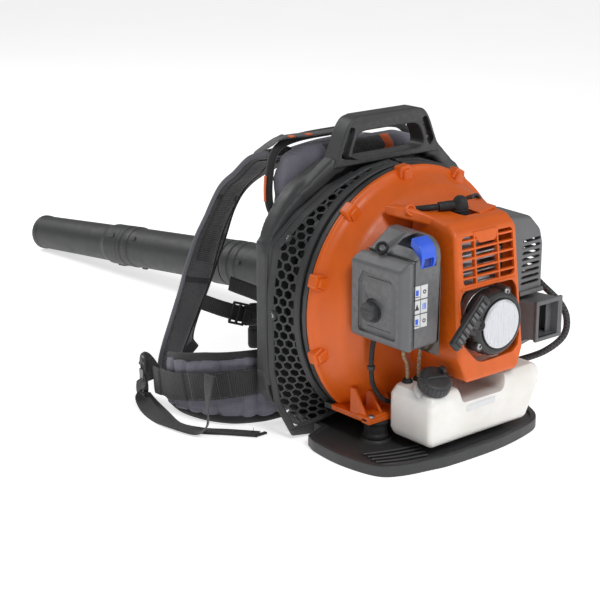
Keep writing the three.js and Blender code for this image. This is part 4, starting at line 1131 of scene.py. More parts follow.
def air_filter_housing():
    """The filter's base and cover, its knob, screw, choke lever and labels."""
    corner = [(x, LEVER_Y - 26 * math.cos(t), LEVER_Z + 26 * math.sin(t))
              for x in (-108, -90) for t in (0, 0.4, 0.8, 1.2, 1.5)]
    base = hull([(-146, -84, 178), (-146, 8, 178), (-146, -84, 302), (-146, -70, 311), (-146, 8, 310),
                 (-108, 8, 336), (-90, 8, 336), (-90, -80, 178), (-90, 8, 178), *corner],
                "filter_base_shell")
    soften(base, 6, 4, 20)
    pocket = lathe([(0.01, -131), (29, -131), (29, -101), (0.01, -101)], (0, LEVER_Y, LEVER_Z), (1, 0, 0),
                   72, "pocket")
    cone = lathe([(0.01, 0), (12.5, 0), (9.5, 22), (4, 44), (0.01, 50)], *SCREW_SCALLOP, 40, "scallop")
    hollow = hull([(-160, -80, 182), (-160, 4, 182), (-160, -80, 306), (-160, 4, 306), (-120, -78, 182),
                   (-120, 4, 182), (-120, -78, 306), (-120, 4, 306)], "hollow")
    boolean(base, [pocket, cone, hollow])
    soften(base, 0.8, 2, 42)
    stand_in("filter_base", base)

    cover = hull([(-168, -83, 186), (-168, 20, 186), (-168, -83, 296), (-168, 20, 296), (-155, -88, 179),
                  (-155, 16, 179), (-155, -88, 306), (-155, 16, 306), (-146.3, -88, 177), (-146.3, 12, 177),
                  (-146.3, -88, 309), (-146.3, 12, 309)], "filter_cover_shell")
    soften(cover, 6.5, 4, 14)
    recess = plate([(-72, 194), (0, 194), (3, 198), (3, 268), (-6, 284), (-66, 280), (-75, 270),
                    (-75, 198)], "x", -175, -164.4, "recess")
    soften(recess, 3, 3)
    dish = lathe([(0.01, -175), (19, -175), (17.5, -162.8), (0.01, -162.8)], KNOB_SPOT, (1, 0, 0), 56,
                 "dish")
    seat = lathe([(0.01, 0), (12.5, 0), (10.5, 22), (0.01, 24)], *SCREW_SCALLOP, 40, "seat")
    boolean(cover, [recess, dish, seat])
    soften(cover, 0.9, 2, 42)
    parts = [cover]
    for z in (203, 275):
        parts.append(rounded_box(-165.4, -163.6, -60, -12, z - 1, z + 1, 0.5, 2, "panel_rib"))
    stand_in("filter_cover", joined("filter_cover_shell", parts))
    seam = [(-146.2, -88.3, 184), (-146.2, -88.4, 300), (-146.2, -84, 309.6), (-146.2, 8, 309.6)]
    seams = [soften(sweep(smooth_path(seam, 40), round_section(0.9, 8), name="cover_seam"), 0, angle=60)]
    socket = lathe(rounded([(5.2, -3), (9.6, -3), (9.6, 2.2), (7.4, 3.0), (5.6, -1)], 0.6, 2),
                   (-149, -24.4, 316.5), (-0.72, -0.3, 0.62), 36, "screw_socket")
    seams.append(soften(socket, 0, angle=45))
    place(joined("filter_seam", seams), LOOKS["black_rubber"], "backpack_unit")
    place(screw((-149, -24.4, 317), (-0.72, -0.3, 0.62), 5.4, 3, "filter_screw"), EXTRA["screw_steel"],
          "backpack_unit")

    knob = lathe(rounded([(0.01, -176.6), (13.5, -176.6), (14.5, -172), (14.5, -166.3), (0.01, -166.3)],
                         1.6, 3), KNOB_SPOT, (1, 0, 0), 60, "knob_disc")
    bar = rounded_box(-178, -171, -37, -11, 224.6, 231.4, 1.8, 3, "knob_bar")
    soften(knob, 0, angle=40)
    stand_in("cover_knob", joined("cover_knob_shell", [knob, bar]))

    outline = []
    for radius, start, stop in ((28.8, 104, 226), (16, 226, 104)):
        for i in range(19):
            t = math.radians(start + (stop - start) * i / 18)
            outline.append((LEVER_Y + radius * math.cos(t), LEVER_Z + radius * math.sin(t)))
    lever = plate(outline, "x", -131.5, -103, "choke_lever_shell")
    soften(lever, 1.6, 3, 40)
    boolean(lever, [rounded_box(-126.5, -108, -96, -80.5, 295, 309, 1.6, 3, "lever_pocket")])
    soften(lever, 0.6, 2, 45)
    ridges = []
    for degrees in (122, 128, 134, 140):
        t = math.radians(degrees)
        spot = (LEVER_Y + 28.4 * math.cos(t), LEVER_Z + 28.4 * math.sin(t))
        ridges.append(cable_line([(-127, *spot), (-107, *spot)], 0.7, 6, "lever_ridge"))
    stand_in("choke_lever", joined("choke_lever_shell", [lever, *ridges]))
    window = rounded_box(-126, -108.5, -81.2, -79, 295.6, 308.4, 0.4, 2, "choke_pocket_floor")
    place(window, EXTRA["dark_blue"], "choke")

    cells, marks, blues = [], [], []
    for col, x in enumerate((-137.5, -123.5)):
        for row, z in enumerate((262, 241, 220)):
            cells.append(rounded_box(x - 6.3, x + 6.3, -84.9, -83.6, z - 9.6, z + 9.6, 0.6, 2, "cell"))
            kind = (col + 2 * row) % 4
            y0, y1 = -85.3, -84.6
            if kind == 0:
                blues.append(rounded_box(x - 2.6, x + 2.6, y0, y1, z - 4, z + 4, 0.4, 2, "mark"))
                marks.append(rounded_box(x - 4.4, x + 4.4, y0, y1, z - 6.6, z - 5.4, 0.3, 1, "mark"))
            elif kind == 1:
                drop = lathe([(3.0, 84.6), (3.0, 85.3), (1.6, 85.3), (1.6, 84.6)], (x, 0, z), (0, -1, 0),
                             28, "mark")
                marks.append(drop)
            elif kind == 2:
                marks.append(plate([(x - 4, z - 4), (x + 4, z - 4), (x, z + 4.6)], "y", y0, y1, "mark"))
            else:
                for dx in (-2.6, 0, 2.6):
                    blues.append(rounded_box(x + dx - 0.7, x + dx + 0.7, y0, y1, z - 4.5, z + 4.5, 0.3, 1,
                                             "mark"))
    place(joined("step_cells", cells), EXTRA["pale_print"], "backpack_unit")
    place(joined("step_marks", marks), EXTRA["dark_print"], "backpack_unit")
    place(joined("step_marks_blue", blues), LOOKS["blue_plastic"], "backpack_unit")


# ---------------------------------------------------------------- fuel tank and cap
CAP_FOOT = Vector((-91, -70, 103))
CAP_AXIS = Vector((-0.16, -0.5, 0.85)).normalized()


def fuel_tank():
    """The tank and its cap."""
    shape = hull([(-113, -94, 25), (88, -94, 25), (88, -14, 25), (-113, -14, 25), (-118, -98, 40),
                  (-118, -10, 40), (108, -100, 80), (108, -14, 80), (-118, -98, 92), (-112, -92, 104),
                  (-118, -10, 92), (-112, -16, 106), (112, -99, 96), (104, -96, 111), (112, -14, 96),
                  (104, -18, 111)], "fuel_tank_shell")
    trough = hull([(-56, -130, 84), (30, -130, 84), (-56, 20, 84), (30, 20, 84), (-63, -130, 130),
                   (40, -130, 130), (-63, 20, 130), (40, 20, 130)], "trough")
    soften(trough, 8, 4, 20)
    soften(shape, 9, 5, 22)
    boolean(shape, [trough])
    soften(shape, 4.2, 3, 38)
    neck = lathe(rounded([(0.01, -8), (20, -8), (19, 4), (17, 8), (17, 18), (0.01, 18)], 1.5, 3), CAP_FOOT,
                 CAP_AXIS, 64, "neck")
    soften(neck, 0, angle=40)
    swell = lathe(rounded([(0.01, -14), (26, -14), (25, 2), (21, 6), (0.01, 6)], 4, 4), CAP_FOOT, CAP_AXIS,
                  64, "neck_swell")
    soften(swell, 0, angle=40)
    made = joined("fuel_tank_shell", [shape, neck, swell])
    stand_in("fuel_tank", made)
    label = hull([(-46, -99.2, 69), (12, -99.8, 70.5), (-46, -99.3, 78), (12, -99.9, 79.5),
                  (-46, -98.6, 69), (12, -99.2, 70.5), (-46, -98.7, 78), (12, -99.3, 79.5)], "blank_label")
    place(soften(label, 0.2, 1), EXTRA["pale_print"], "backpack_unit")
    grommets = []
    for x, y in ((-78, -30), (-96, -26)):
        grommets.append(turned([(3.2, 104), (8, 104), (8, 108), (5.6, 112), (3.2, 112)], 0.8, 2, (x, y, 0),
                               (0, 0, 1), 32, "grommet", 45))
    place(joined("fuel_grommets", grommets), LOOKS["black_rubber"], "backpack_unit")

    cap = lathe(rounded([(0.01, 31), (19, 31), (21, 30), (24.4, 27), (24.4, 13.2), (17.6, 13.2), (17.6, 20),
                         (0.01, 20)], 1, 3), CAP_FOOT, CAP_AXIS, 192, "cap_body")
    u, v, a = basis(CAP_AXIS)
    for vert in cap.data.vertices:
        flat = vert.co / MM - CAP_FOOT
        h = flat.dot(a)
        out = flat - a * h
        if out.length > 22.5 and 14.5 < h < 28.5:
            turn = math.atan2(out.dot(v), out.dot(u))
            dip = 1.5 if math.cos(24 * turn) < -0.1 else 0.0
            vert.co = (CAP_FOOT + a * h + out * ((out.length - dip) / out.length)) * MM
    soften(cap, 0, angle=32)
    bar = [(h, x, y) for h, long, wide in ((30, 18, 3), (35, 13, 2.4))
           for y in (-wide, wide) for x in (-long, long)]
    grip = hull([CAP_FOOT + a * h + u * x + v * y for h, x, y in bar], "cap_bar")
    soften(grip, 1.4, 3)
    lug = CAP_FOOT + CAP_AXIS * 34 + Vector((14, 4, 4))
    loop = lathe(rounded([(2.6, -2.6), (6.2, -2.6), (6.2, 2.6), (2.6, 2.6)], 1, 3),
                 lug + Vector((0, 0, 0.6)), (1, 0, 0), 32, "cap_lug")
    soften(loop, 0, angle=45)
    stand_in("fuel_cap", joined("fuel_cap_shell", [cap, grip, loop]))


# ---------------------------------------------------------------- starter
def starter():
    """The starter housing with its screws, badge, rope and grip."""
    ring = lathe(rounded([(37, -114.6), (42, -115.4), (46, -113), (48.6, -107), (49.4, -90), (46, -90),
                          (45.5, -108), (37, -111)], 1.6, 4), FAN_HUB, (0, 1, 0), 120, "starter_ring")
    soften(ring, 0, angle=40)
    back = lathe([(0.01, -113), (38, -113), (38, -111), (0.01, -111)], FAN_HUB, (0, 1, 0), 80,
                 "starter_back")
    soften(back, 0, angle=40)
    parts = [ring, back]
    for degrees in (72, 215):
        t = math.radians(degrees)
        boss = lathe(rounded([(0.01, -113), (7.5, -113), (8.5, -104), (8.5, -92), (0.01, -92)], 1, 3),
                     (47 * math.cos(t), 0, CRANK_Z + 47 * math.sin(t)), (0, 1, 0), 32, "starter_boss")
        parts.append(soften(boss, 0, angle=45))
    guide = lathe(rounded([(3.0, -119), (8.6, -119), (11, -112), (12, -96), (3.0, -96)], 1.5, 3),
                  (-52, 0, 207), (0, 1, 0), 40, "rope_guide")
    parts.append(soften(guide, 0, angle=45))
    parts.append(soften(hull([(-58, -112, 192), (-34, -112, 180), (-58, -98, 190), (-34, -98, 178),
                              (-44, -113, 216), (-36, -113, 204), (-60, -100, 214), (-36, -100, 204)],
                             "guide_web"), 2.5, 3))
    for k in range(28):
        t = 2 * math.pi * k / 28
        c = Vector((48.4 * math.cos(t), 0, CRANK_Z + 48.4 * math.sin(t)))
        rib = block(-0.9, 0.9, -105, -93, -1.6, 1.6, "ring_rib")
        rib.data.transform(Matrix.Rotation(math.pi / 2 - t, 4, "Y"))
        rib.data.transform(Matrix.Translation(c * MM))
        parts.append(soften(rib, 0.5, 1))
    stand_in("starter_housing", joined("starter_housing_shell", parts))
    heads = [screw((47 * math.cos(math.radians(d)), -113.6, CRANK_Z + 47 * math.sin(math.radians(d))),
                   (0, -1, 0), 5, 2.5, "starter_screw") for d in (72, 215)]
    place(joined("starter_screws", heads), EXTRA["screw_steel"], "backpack_unit")
    badge = lathe(rounded([(0.01, -119), (32.6, -119), (33.6, -118.4), (36, -117.6), (36, -115.4),
                           (0.01, -115.4)], 0.7, 3), FAN_HUB, (0, 1, 0), 96, "starter_badge_disc")
    stand_in("starter_badge", soften(badge, 0, angle=40))

    turn = Matrix.Translation(Vector((-80, -131, 219)) * MM) @ Matrix.Rotation(-math.pi / 4, 4, "Y")
    body = block(-44, 44, -7, 7, -10, 10, "starter_grip_body")
    taper = body.data
    for vert in taper.vertices:
        share = abs(vert.co.x) / 0.044
        vert.co.y *= 1 - 0.25 * share
    soften(body, 4.2, 4)
    windows = []
    for x in (-27, -9, 9, 27):
        windows.append(block(x - 6.6, x + 6.6, -12, -4.6, -5.6, 5.6, "window"))
    boolean(body, windows)
    soften(body, 0.7, 2, 42)
    parts = [body]
    for k in range(9):
        x = -36 + 9 * k
        parts.append(rounded_box(x - 1, x + 1, -7.4, -5.8, -8.4, 8.4, 0.5, 2, "grip_rib"))
    for p in parts:
        p.data.transform(turn)
    stem = lathe(rounded([(2.2, -10), (7.4, -10), (9.4, -1), (9.0, 4), (2.2, 4)], 1.5, 3),
                 (-57, -126.5, 209.5), (-0.45, -0.8, 0.25), 36, "grip_stem")
    parts.append(soften(stem, 0, angle=45))
    web = hull([(-66, -134, 205), (-52, -130, 214), (-62, -124, 203), (-52, -122, 212), (-84, -134, 216),
                (-72, -134, 226), (-84, -126, 214), (-72, -126, 224)], "grip_web")
    parts.append(soften(web, 2.4, 3))
    stand_in("starter_grip", joined("starter_grip_shell", parts))
    inlay = []
    for k in range(4):
        inlay.append(rounded_box(-33 + 18 * k, -21 + 18 * k, -5.4, -4.4, -5.2, 5.2, 0.4, 2, "inlay"))
    for p in inlay:
        p.data.transform(turn)
    place(joined("starter_grip_inlay", inlay), LOOKS["mid_grey_plastic"], "starter_grip")
    rope_points = [Vector((-52, -100 - 1.6 * i, 207)) for i in range(16)]
    rope = sweep(rope_points, round_section(2.0, 12), name="starter_rope")
    soften(rope, 0, angle=60)
    paint(rope, EXTRA["braid"])
    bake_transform(rope)


# ---------------------------------------------------------------- exhaust side
def exhaust_side():
    """The muffler cover and the exhaust outlet with its dark liner."""
    cover = hull([(64, -62, 203), (64, 6, 203), (64, -62, 333), (64, 6, 335), (116, -62, 328),
                  (116, 6, 330), (140, -60, 306), (140, 6, 308), (151, -58, 275), (151, 4, 275),
                  (151, -58, 203), (151, 4, 203)], "muffler_cover_shell")
    soften(cover, 5.5, 4, 18)
    inner = hull([(50, -58, 195), (50, 3, 195), (50, -58, 329), (50, 3, 331), (114, -58, 324),
                  (114, 3, 326), (137, -56, 303), (137, 3, 305), (147, -54, 274), (147, 1, 274),
                  (147, -54, 195), (147, 1, 195)], "inner")
    cutters = [inner]
    for i in range(8):
        z = 224 + i * 9.4
        shape = [(103, z - 2.4), (139, z - 2.4), (143, z), (139, z + 2.4), (103, z + 2.4), (100, z)]
        cutters.append(plate(shape, "y", -80, -50, "slot"))
    for i in range(6):
        z = 230 + i * 11
        cutters.append(block(140, 160, -46, -8, z - 2.4, z + 2.4, "side_slot"))
    boolean(cover, cutters)
    soften(cover, 0.7, 2, 40)
    rim = rounded_box(97, 149, -63.6, -58.5, 206, 213, 1.5, 3, "cover_lip")
    stand_in("muffler_cover", joined("muffler_cover_shell", [cover, rim]))

    outer = hull([(117, -82, 137), (170, -82, 137), (170, -82, 196), (117, -82, 196), (90, -16, 132),
                  (150, -16, 132), (150, -16, 200), (90, -16, 200)], "exhaust_box")
    soften(outer, 3.2, 3)
    boolean(outer, [hull([(121, -95, 141), (166, -95, 141), (166, -95, 192), (121, -95, 192),
                          (117, -30, 141), (152, -30, 141), (152, -30, 190), (117, -30, 190)], "mouth")])
    soften(outer, 0.9, 2, 40)
    lip = boolean(block(114.5, 172.5, -82.6, -77, 134.5, 198.5, "lip"),
                  [block(121, 166, -95, -60, 141, 192, "lip_hole")])
    soften(lip, 1.3, 3)
    bracket = hull([(100, -58, 133), (150, -58, 133), (100, -20, 133), (150, -20, 133), (84, -40, 113),
                    (112, -40, 113), (84, -20, 113), (112, -20, 113)], "bracket")
    soften(bracket, 3, 3)
    rib = rounded_box(150, 166, -70, -67.5, 136.4, 196.8, 0.8, 2, "box_rib")
    stand_in("exhaust_outlet", joined("exhaust_outlet_shell", [outer, lip, bracket, rib]))
    # A black shell lines the inside of the outlet's mouth.
    mouth_liner = boolean(hull([(121.8, -60, 141.8), (165, -60, 141.8), (165, -60, 191), (121.8, -60, 191),
                         (118, -31, 142), (151, -31, 142), (151, -31, 189), (118, -31, 189)],
                        "exhaust_liner"), [hull([(123, -66, 143), (163, -66, 143), (163, -66, 190),
                                                 (123, -66, 190), (120, -33, 144), (149, -33, 144),
                                                 (149, -33, 187), (120, -33, 187)], "liner_hole")])
    place(soften(mouth_liner, 0.5, 1), LOOKS["black_rubber"], "backpack_unit")


# ---------------------------------------------------------------- blow tube
TUBE_START = Vector((183.3, 300, 118.2))
TUBE_WAY = Vector((-1 / 12, 1, -1 / 12)).normalized()


def tube_spot(y):
    """The point of the blow tube's axis at that Y."""
    return TUBE_START + TUBE_WAY * ((y - TUBE_START.y) / TUBE_WAY.y)


def on_tube(profile, steps=96, name="tube"):
    """A turned piece on the blow tube's axis; the profile is (radius, Y)."""
    reach = [(r, (y - TUBE_START.y) / TUBE_WAY.y) for r, y in profile]
    return soften(lathe(reach, TUBE_START, TUBE_WAY, steps, name), 0, angle=38)


def peg(y, degrees, radius, name, long=14, wide=9, high=3.4):
    """A bayonet peg standing on the tube."""
    u, v, a = basis(TUBE_WAY)
    t = math.radians(degrees)
    out = u * math.cos(t) + v * math.sin(t)
    side = a.cross(out)
    centre = tube_spot(y)
    low = [(radius - 2, l, s) for s in (-wide / 2, wide / 2) for l in (-long / 2, long / 2)]
    top = [(radius + high, l, s)
           for s in (-wide / 2 + 1, wide / 2 - 1) for l in (-long / 2 + 1, long / 2 - 3)]
    made = hull([centre + out * h + a * l + side * s for h, l, s in low + top], name)
    return soften(made, 1.2, 3)


def blow_tube():
    """The bellows, the tubes with their pegs, the hose ring and the nozzle."""
    grey = LOOKS["dark_grey_plastic"]
    control = [on_tube(rounded([(42, 290.5), (42, 640), (42.4, 655), (44, 660), (44, 668), (42.4, 670),
                                (42.2, 676), (44.2, 679), (44.2, 694), (42.4, 699.8), (38.5, 699.8),
                                (39.5, 290.5)], 1.2, 3), name="control_tube_shell")]
    control += [peg(648, d, 42, "control_peg") for d in (20, 140, 260)]
    for y in (300, 312):
        control.append(on_tube(rounded([(41, y), (43.6, y), (43.6, y + 4), (41, y + 4)], 0.8, 3),
                               name="control_ring"))
    place(joined("control_tube_shell", control), grey, "tube", "dark_grey_plastic", ["control_tube"])
    middle = [on_tube(rounded([(43.6, 700.5), (43.6, 742), (42.2, 746), (40.4, 752), (40, 760), (39, 968),
                               (39.4, 975), (41, 978), (41, 990), (39.4, 994), (39.2, 998), (40.8, 1001),
                               (40.8, 1011.8), (36, 1011.8), (37.4, 700.5)], 1.2, 3),
                      name="middle_tube_shell")]
    middle += [peg(722, d, 43.6, "middle_peg", 22, 12, 2.6) for d in (20, 140, 260)]
    middle += [peg(962, d, 39, "middle_peg_front") for d in (40, 160, 280)]
    place(joined("middle_tube_shell", middle), grey, "tube", "dark_grey_plastic", ["middle_tube"])
    nozzle = [on_tube(rounded([(40.4, 1012.5), (40.4, 1050), (39, 1054), (37.4, 1060), (36.8, 1068),
                               (34.4, 1285), (34.6, 1287), (35.6, 1289), (35.6, 1299.6), (32.6, 1299.6),
                               (32.2, 1290), (35.5, 1012.5)], 1.0, 3), name="nozzle_tube_shell")]
    nozzle += [peg(1032, d, 40.4, "nozzle_peg", 22, 12, 2.4) for d in (40, 160, 280)]
    place(joined("nozzle_tube_shell", nozzle), grey, "nozzle", "dark_grey_plastic", ["nozzle_tube"])

    for name, start, stop, ends in (("bellows_rear", 181, 224, ("backpack_unit", "hose_middle")),
                                    ("bellows_front", 234, 290, ("hose_middle", "tube"))):
        folds, pitch = 5, (stop - start) / 5
        outer = []
        for i in range(folds * 8 + 1):
            phase = i / 8 * 2 * math.pi
            outer.append((42.2 - 2.8 * math.cos(phase), start + i * pitch / 8))
        inner = [(r - 3.2, y) for r, y in reversed(outer)]
        made = on_tube(outer + inner, 80, name + "_folds")
        paint(made, LOOKS["black_rubber"])
        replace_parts(made, name)
        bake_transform(made)
    ring = [on_tube(rounded([(47, 224.2), (47, 233.8), (39, 233.8), (39, 224.2)], 1.2, 3),
                    name="hose_ring_hoop")]
    centre = tube_spot(229)
    ring.append(rounded_box(centre.x - 5, centre.x + 5, 228.5, 236, centre.z + 45, centre.z + 59, 1.6, 3,
                            "ring_post"))
    ring.append(rounded_box(centre.x + 45, centre.x + 59, 228.5, 236, centre.z - 6, centre.z + 6, 1.6, 3,
                            "ring_ear"))
    for d in range(0, 360, 30):
        ring.append(peg(229, d, 47, "ring_rib", 8, 4, 0.8))
    place(joined("hose_ring_shell", ring), grey, "hose_middle", "dark_grey_plastic", ["hose_ring"])


def control_handle():
    """The handle on the blow tube with its band, screws and trigger."""
    x, _, z = tube_spot(350)
    band = on_tube(rounded([(42.5, 335), (47, 335), (47, 367), (42.5, 367)], 1.4, 3), name="handle_band")
    foot = soften(hull([(x - 16, 334, z + 43.5), (x + 16, 334, z + 43.5), (x - 16, 368, z + 43.5),
                        (x + 16, 368, z + 43.5), (x - 14, 338, z + 58), (x + 14, 338, z + 58),
                        (x - 14, 366, z + 58), (x + 14, 366, z + 58)], "handle_foot"), 3, 3)

    def grip_spot(share):
        wave = 2.5 * math.sin(share * 3 * math.pi) * (1 - share * 0.3)
        return x, 352 - 9 * share - wave, z + (50 + 106 * share)

    def swell(i, share):
        return 1 + 0.05 * math.cos(share * 6), 1 + 0.07 * math.cos(share * 3 * math.pi)

    stations = [Vector(grip_spot(i / 24)) for i in range(25)]
    section = [(14 * math.cos(2 * math.pi * k / 32), 15 * math.sin(2 * math.pi * k / 32)) for k in range(32)]
    grip = sweep(stations, section, [Vector((1, 0, 0))] * 25, "grip_column", shape=swell)
    soften(grip, 0, angle=50)
    rings = []
    for share in [0.12 + 0.05 * i for i in range(13)]:
        _, y, height = grip_spot(share)
        rings.append(turned([(12, -0.9), (14.9, -0.7), (14.9, 0.7), (12, 0.9)], 0.4, 2,
                            (x, y + 0.4, height), (0, -0.08, 1), 48, "grip_ring", 50))
    head = soften(hull([(x - 17, 320, z + 150), (x + 17, 320, z + 150), (x - 17, 376, z + 150),
                        (x + 17, 376, z + 150), (x - 14, 322, z + 176), (x + 14, 322, z + 176),
                        (x - 14, 366, z + 176), (x + 14, 366, z + 176)], "grip_head"), 5, 4)
    stand_in("control_handle", joined("control_handle_shell", [band, foot, grip, *rings, head]))
    heads = [screw((x + 17.2 * side, spot_y, z + up), (side, 0, 0), 3.6, 2, "handle_screw")
             for side in (-1, 1) for spot_y, up in ((364, 158), (330, 170))]
    place(joined("control_handle_screws", heads), EXTRA["screw_steel"], "tube")
    outline = [(362.5, z + 149), (374, z + 149), (376.5, z + 140), (381, z + 130), (384.5, z + 119),
               (383, z + 110), (380, z + 107.5), (377, z + 112), (374.5, z + 121), (371, z + 130),
               (366, z + 139)]
    trigger = soften(plate(outline, "x", x - 7, x + 7, "throttle_trigger_shell"), 2.2, 3, 40)
    stand_in("throttle_trigger", trigger)


# ---------------------------------------------------------------- cables
def cables():
    """The control conduit, the cables and the fuel lines."""
    routes = (
        ("throttle_cable", 3.6, 90, LOOKS["black_rubber"],
         [(-136, 2, 176.6), (-139, 3, 160), (-140, 4, 130), (-134, 5, 100), (-110, 4, 72), (-60, 2, 62),
          (20, 1, 62), (90, -1, 66), (118, -4, 72)]),
        ("control_conduit", 5.4, 140, EXTRA["braid"],
         [(120, -5, 72.4), (150, -14, 80), (190, -34, 92), (222, -44, 112), (232, -42, 138),
          (226, -32, 164), (216, 0, 190), (226, 60, 214), (232, 120, 222), (230, 172, 214),
          (212, 204, 194), (191, 222, 183)]),
        ("fuel_line", 2.9, 60, LOOKS["fuel_hose"],
         [(-78, -30, 98), (-78, -30, 120), (-80, -34, 150), (-77, -38, 190), (-70, -36, 215),
          (-66, -32, 230.6)]),
        ("return_line", 2.9, 40, LOOKS["fuel_hose"],
         [(-96, -26, 98), (-96, -26, 118), (-102, -30, 138), (-114, -36, 152), (-118, -40, 162.6)]),
    )
    for name, radius, count, look, points in routes:
        made = cable_line(points, radius, count, name + "_run")
        place(made, look, "backpack_unit", SLOT_OF[name], [name])
    lead = cable_line([(243, 237, 124), (243, 252, 128), (236, 282, 146), (216, 312, 164), (198, 330, 171)],
                      4.0, 60, "handle_cable_run")
    paint(lead, EXTRA["braid"])
    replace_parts(lead, "handle_cable")
    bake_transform(lead)
    clips = []
    for spot, way in (((-140, 4, 130), (0, 0, 1)), ((20, 1, 62), (1, 0, 0))):
        clips.append(turned([(3.4, -3), (5.6, -3), (5.6, 3), (3.4, 3)], 0.7, 2, spot, way, 28, "cable_clip",
                            45))
    for spot, way in (((122, -5.6, 73), (0.9, -0.28, 0.25)), ((192, 221, 184), (-0.8, 0.6, -0.4))):
        clips.append(turned([(5.0, -5), (7.6, -5), (7.0, 6), (5.0, 6)], 0.7, 2, spot, way, 28,
                            "conduit_end", 45))
    place(joined("cable_clips", clips), LOOKS["black_plastic"], "backpack_unit")


# ---------------------------------------------------------------- soft goods
def inflate(obj, voxel, reach):
    """Fills a closed shape like a stuffed cover.
    It is a short cloth run, with each point's travel held to reach mm."""
    remesh = obj.modifiers.new("even_mesh", "REMESH")
    remesh.mode = "VOXEL"
    remesh.voxel_size = voxel * MM
    apply_modifiers(obj)
    start = np.array([v.co for v in obj.data.vertices])
    cloth = obj.modifiers.new("cover", "CLOTH")
    cloth.settings.quality = 5
    cloth.settings.mass = 0.3
    cloth.settings.tension_stiffness = 12
    cloth.settings.compression_stiffness = 12
    cloth.settings.bending_stiffness = 0.6
    cloth.settings.use_pressure = True
    cloth.settings.uniform_pressure_force = 4.0
    cloth.settings.effector_weights.gravity = 0.0
    cloth.point_cache.frame_start = 1
    cloth.point_cache.frame_end = 20
    for number in range(1, 21):
        SCENE.frame_set(number)
    apply_modifiers(obj)
    SCENE.frame_set(1)
    move = np.array([v.co for v in obj.data.vertices]) - start
    far = np.linalg.norm(move, axis=1, keepdims=True)
    held = start + move * np.minimum(1, reach * MM / np.maximum(far, 1e-9))
    obj.data.vertices.foreach_set("co", held.ravel())
    finer = obj.modifiers.new("finer", "SUBSURF")
    finer.levels = 1
    apply_modifiers(obj)
    obj.data.polygons.foreach_set("use_smooth", [True] * len(obj.data.polygons))
    return obj


def press(obj, dips):
    """Moves the cover's points inwards: dips(x, y, z) in mm gives each point's depth in mm."""
    depth = [dips(*(v.co / MM)) for v in obj.data.vertices]
    moved = [v.co - v.normal * (d * MM) for v, d in zip(obj.data.vertices, depth)]
    for v, co in zip(obj.data.vertices, moved):
        v.co = co
    obj.data.update()
    return obj


def groove(distance, width, depth):
    """How far a seam presses the cover down at that distance from it."""
    return depth * math.exp(-(distance / width) ** 2)


def cord_edge(points, radius, look, name, count=80):
    """A painted edge cord along the points."""
    made = soften(sweep(smooth_path(points, count), round_section(radius, 12), name=name), 0, angle=60)
    return paint(made, look)


def across_at(points, across=None):
    """The direction across a band at each point: the one named, or level and square to the run."""
    out = []
    for i in range(len(points)):
        along = (points[min(i + 1, len(points) - 1)] - points[max(i - 1, 0)]).normalized()
        side = Vector(across) if across else along.cross(Vector((0, 0, 1)))
        out.append((side - along * side.dot(along)).normalized())
    return out


def flat_run(points, width, thick, across=None, count=60, name="webbing"):
    """A run of flat webbing along the points."""
    line = smooth_path(points, count)
    return flat_band(line, width, thick, across_at(line, across), name)


def local(obj, origin, along, across):
    """Turns a piece drawn at the origin and moves it to the origin given (mm).
    Its X becomes along and its Y across."""
    x = Vector(along).normalized()
    y = Vector(across)
    y = (y - x * y.dot(x)).normalized()
    z = x.cross(y)
    turn = Matrix((x, y, z)).transposed().to_4x4()
    obj.data.transform(Matrix.Translation(Vector(origin) * MM) @ turn)
    return obj


def ladder_lock(origin, along, across, width, name):
    w = width / 2 + 3.5
    bars = [(-13, 13, -w - 2, -w + 1.5), (-13, 13, w - 1.5, w + 2), (-13.5, -9, -w, w), (-2.5, 2, -w, w),
            (9, 13.5, -w, w)]
    parts = [rounded_box(x0, x1, y0, y1, -2.4, 2.8, 1.4, 3, name) for x0, x1, y0, y1 in bars]
    parts.append(rounded_box(8, 19, -w * 0.75, w * 0.75, 1.6, 4.4, 1.3, 3, name))
    return [local(p, origin, along, across) for p in parts]


def side_release(origin, along, across, width, name):
    """A closed side-release buckle: the socket, the springs at its sides and the male end's bar."""
    w = width / 2 + 4
    socket = [(-20, -w), (12, -w), (16, -w * 0.72), (16, w * 0.72), (12, w), (-20, w)]
    shell = plate(socket, "z", -4.2, 4.2, name)
    shell = boolean(shell, [block(-13, 3, s - 2, s + 3, -8, 8, "side_gap") for s in (-w - 1.5, w + 0.5)])
    parts = [soften(shell, 1.8, 3, 30)]
    for sign in (-1, 1):
        y0, y1 = sorted((sign * (w - 5), sign * (w + 1.4)))
        parts.append(rounded_box(-12, 2.5, y0, y1, -3, 3, 1.6, 3, name))
    parts.append(rounded_box(-11, 8, -w * 0.45, w * 0.45, 3.6, 5.2, 0.9, 3, name))
    for x in (19, 27):
        parts.append(rounded_box(x, x + 3.6, -w * 0.8, w * 0.8, -2.4, 2.4, 1.4, 3, name))
    for sign in (-1, 1):
        y0, y1 = sorted((sign * w * 0.62, sign * w * 0.8))
        parts.append(rounded_box(13, 30, y0, y1, -2.6, 2.6, 1.3, 3, name))
    return [local(p, origin, along, across) for p in parts]


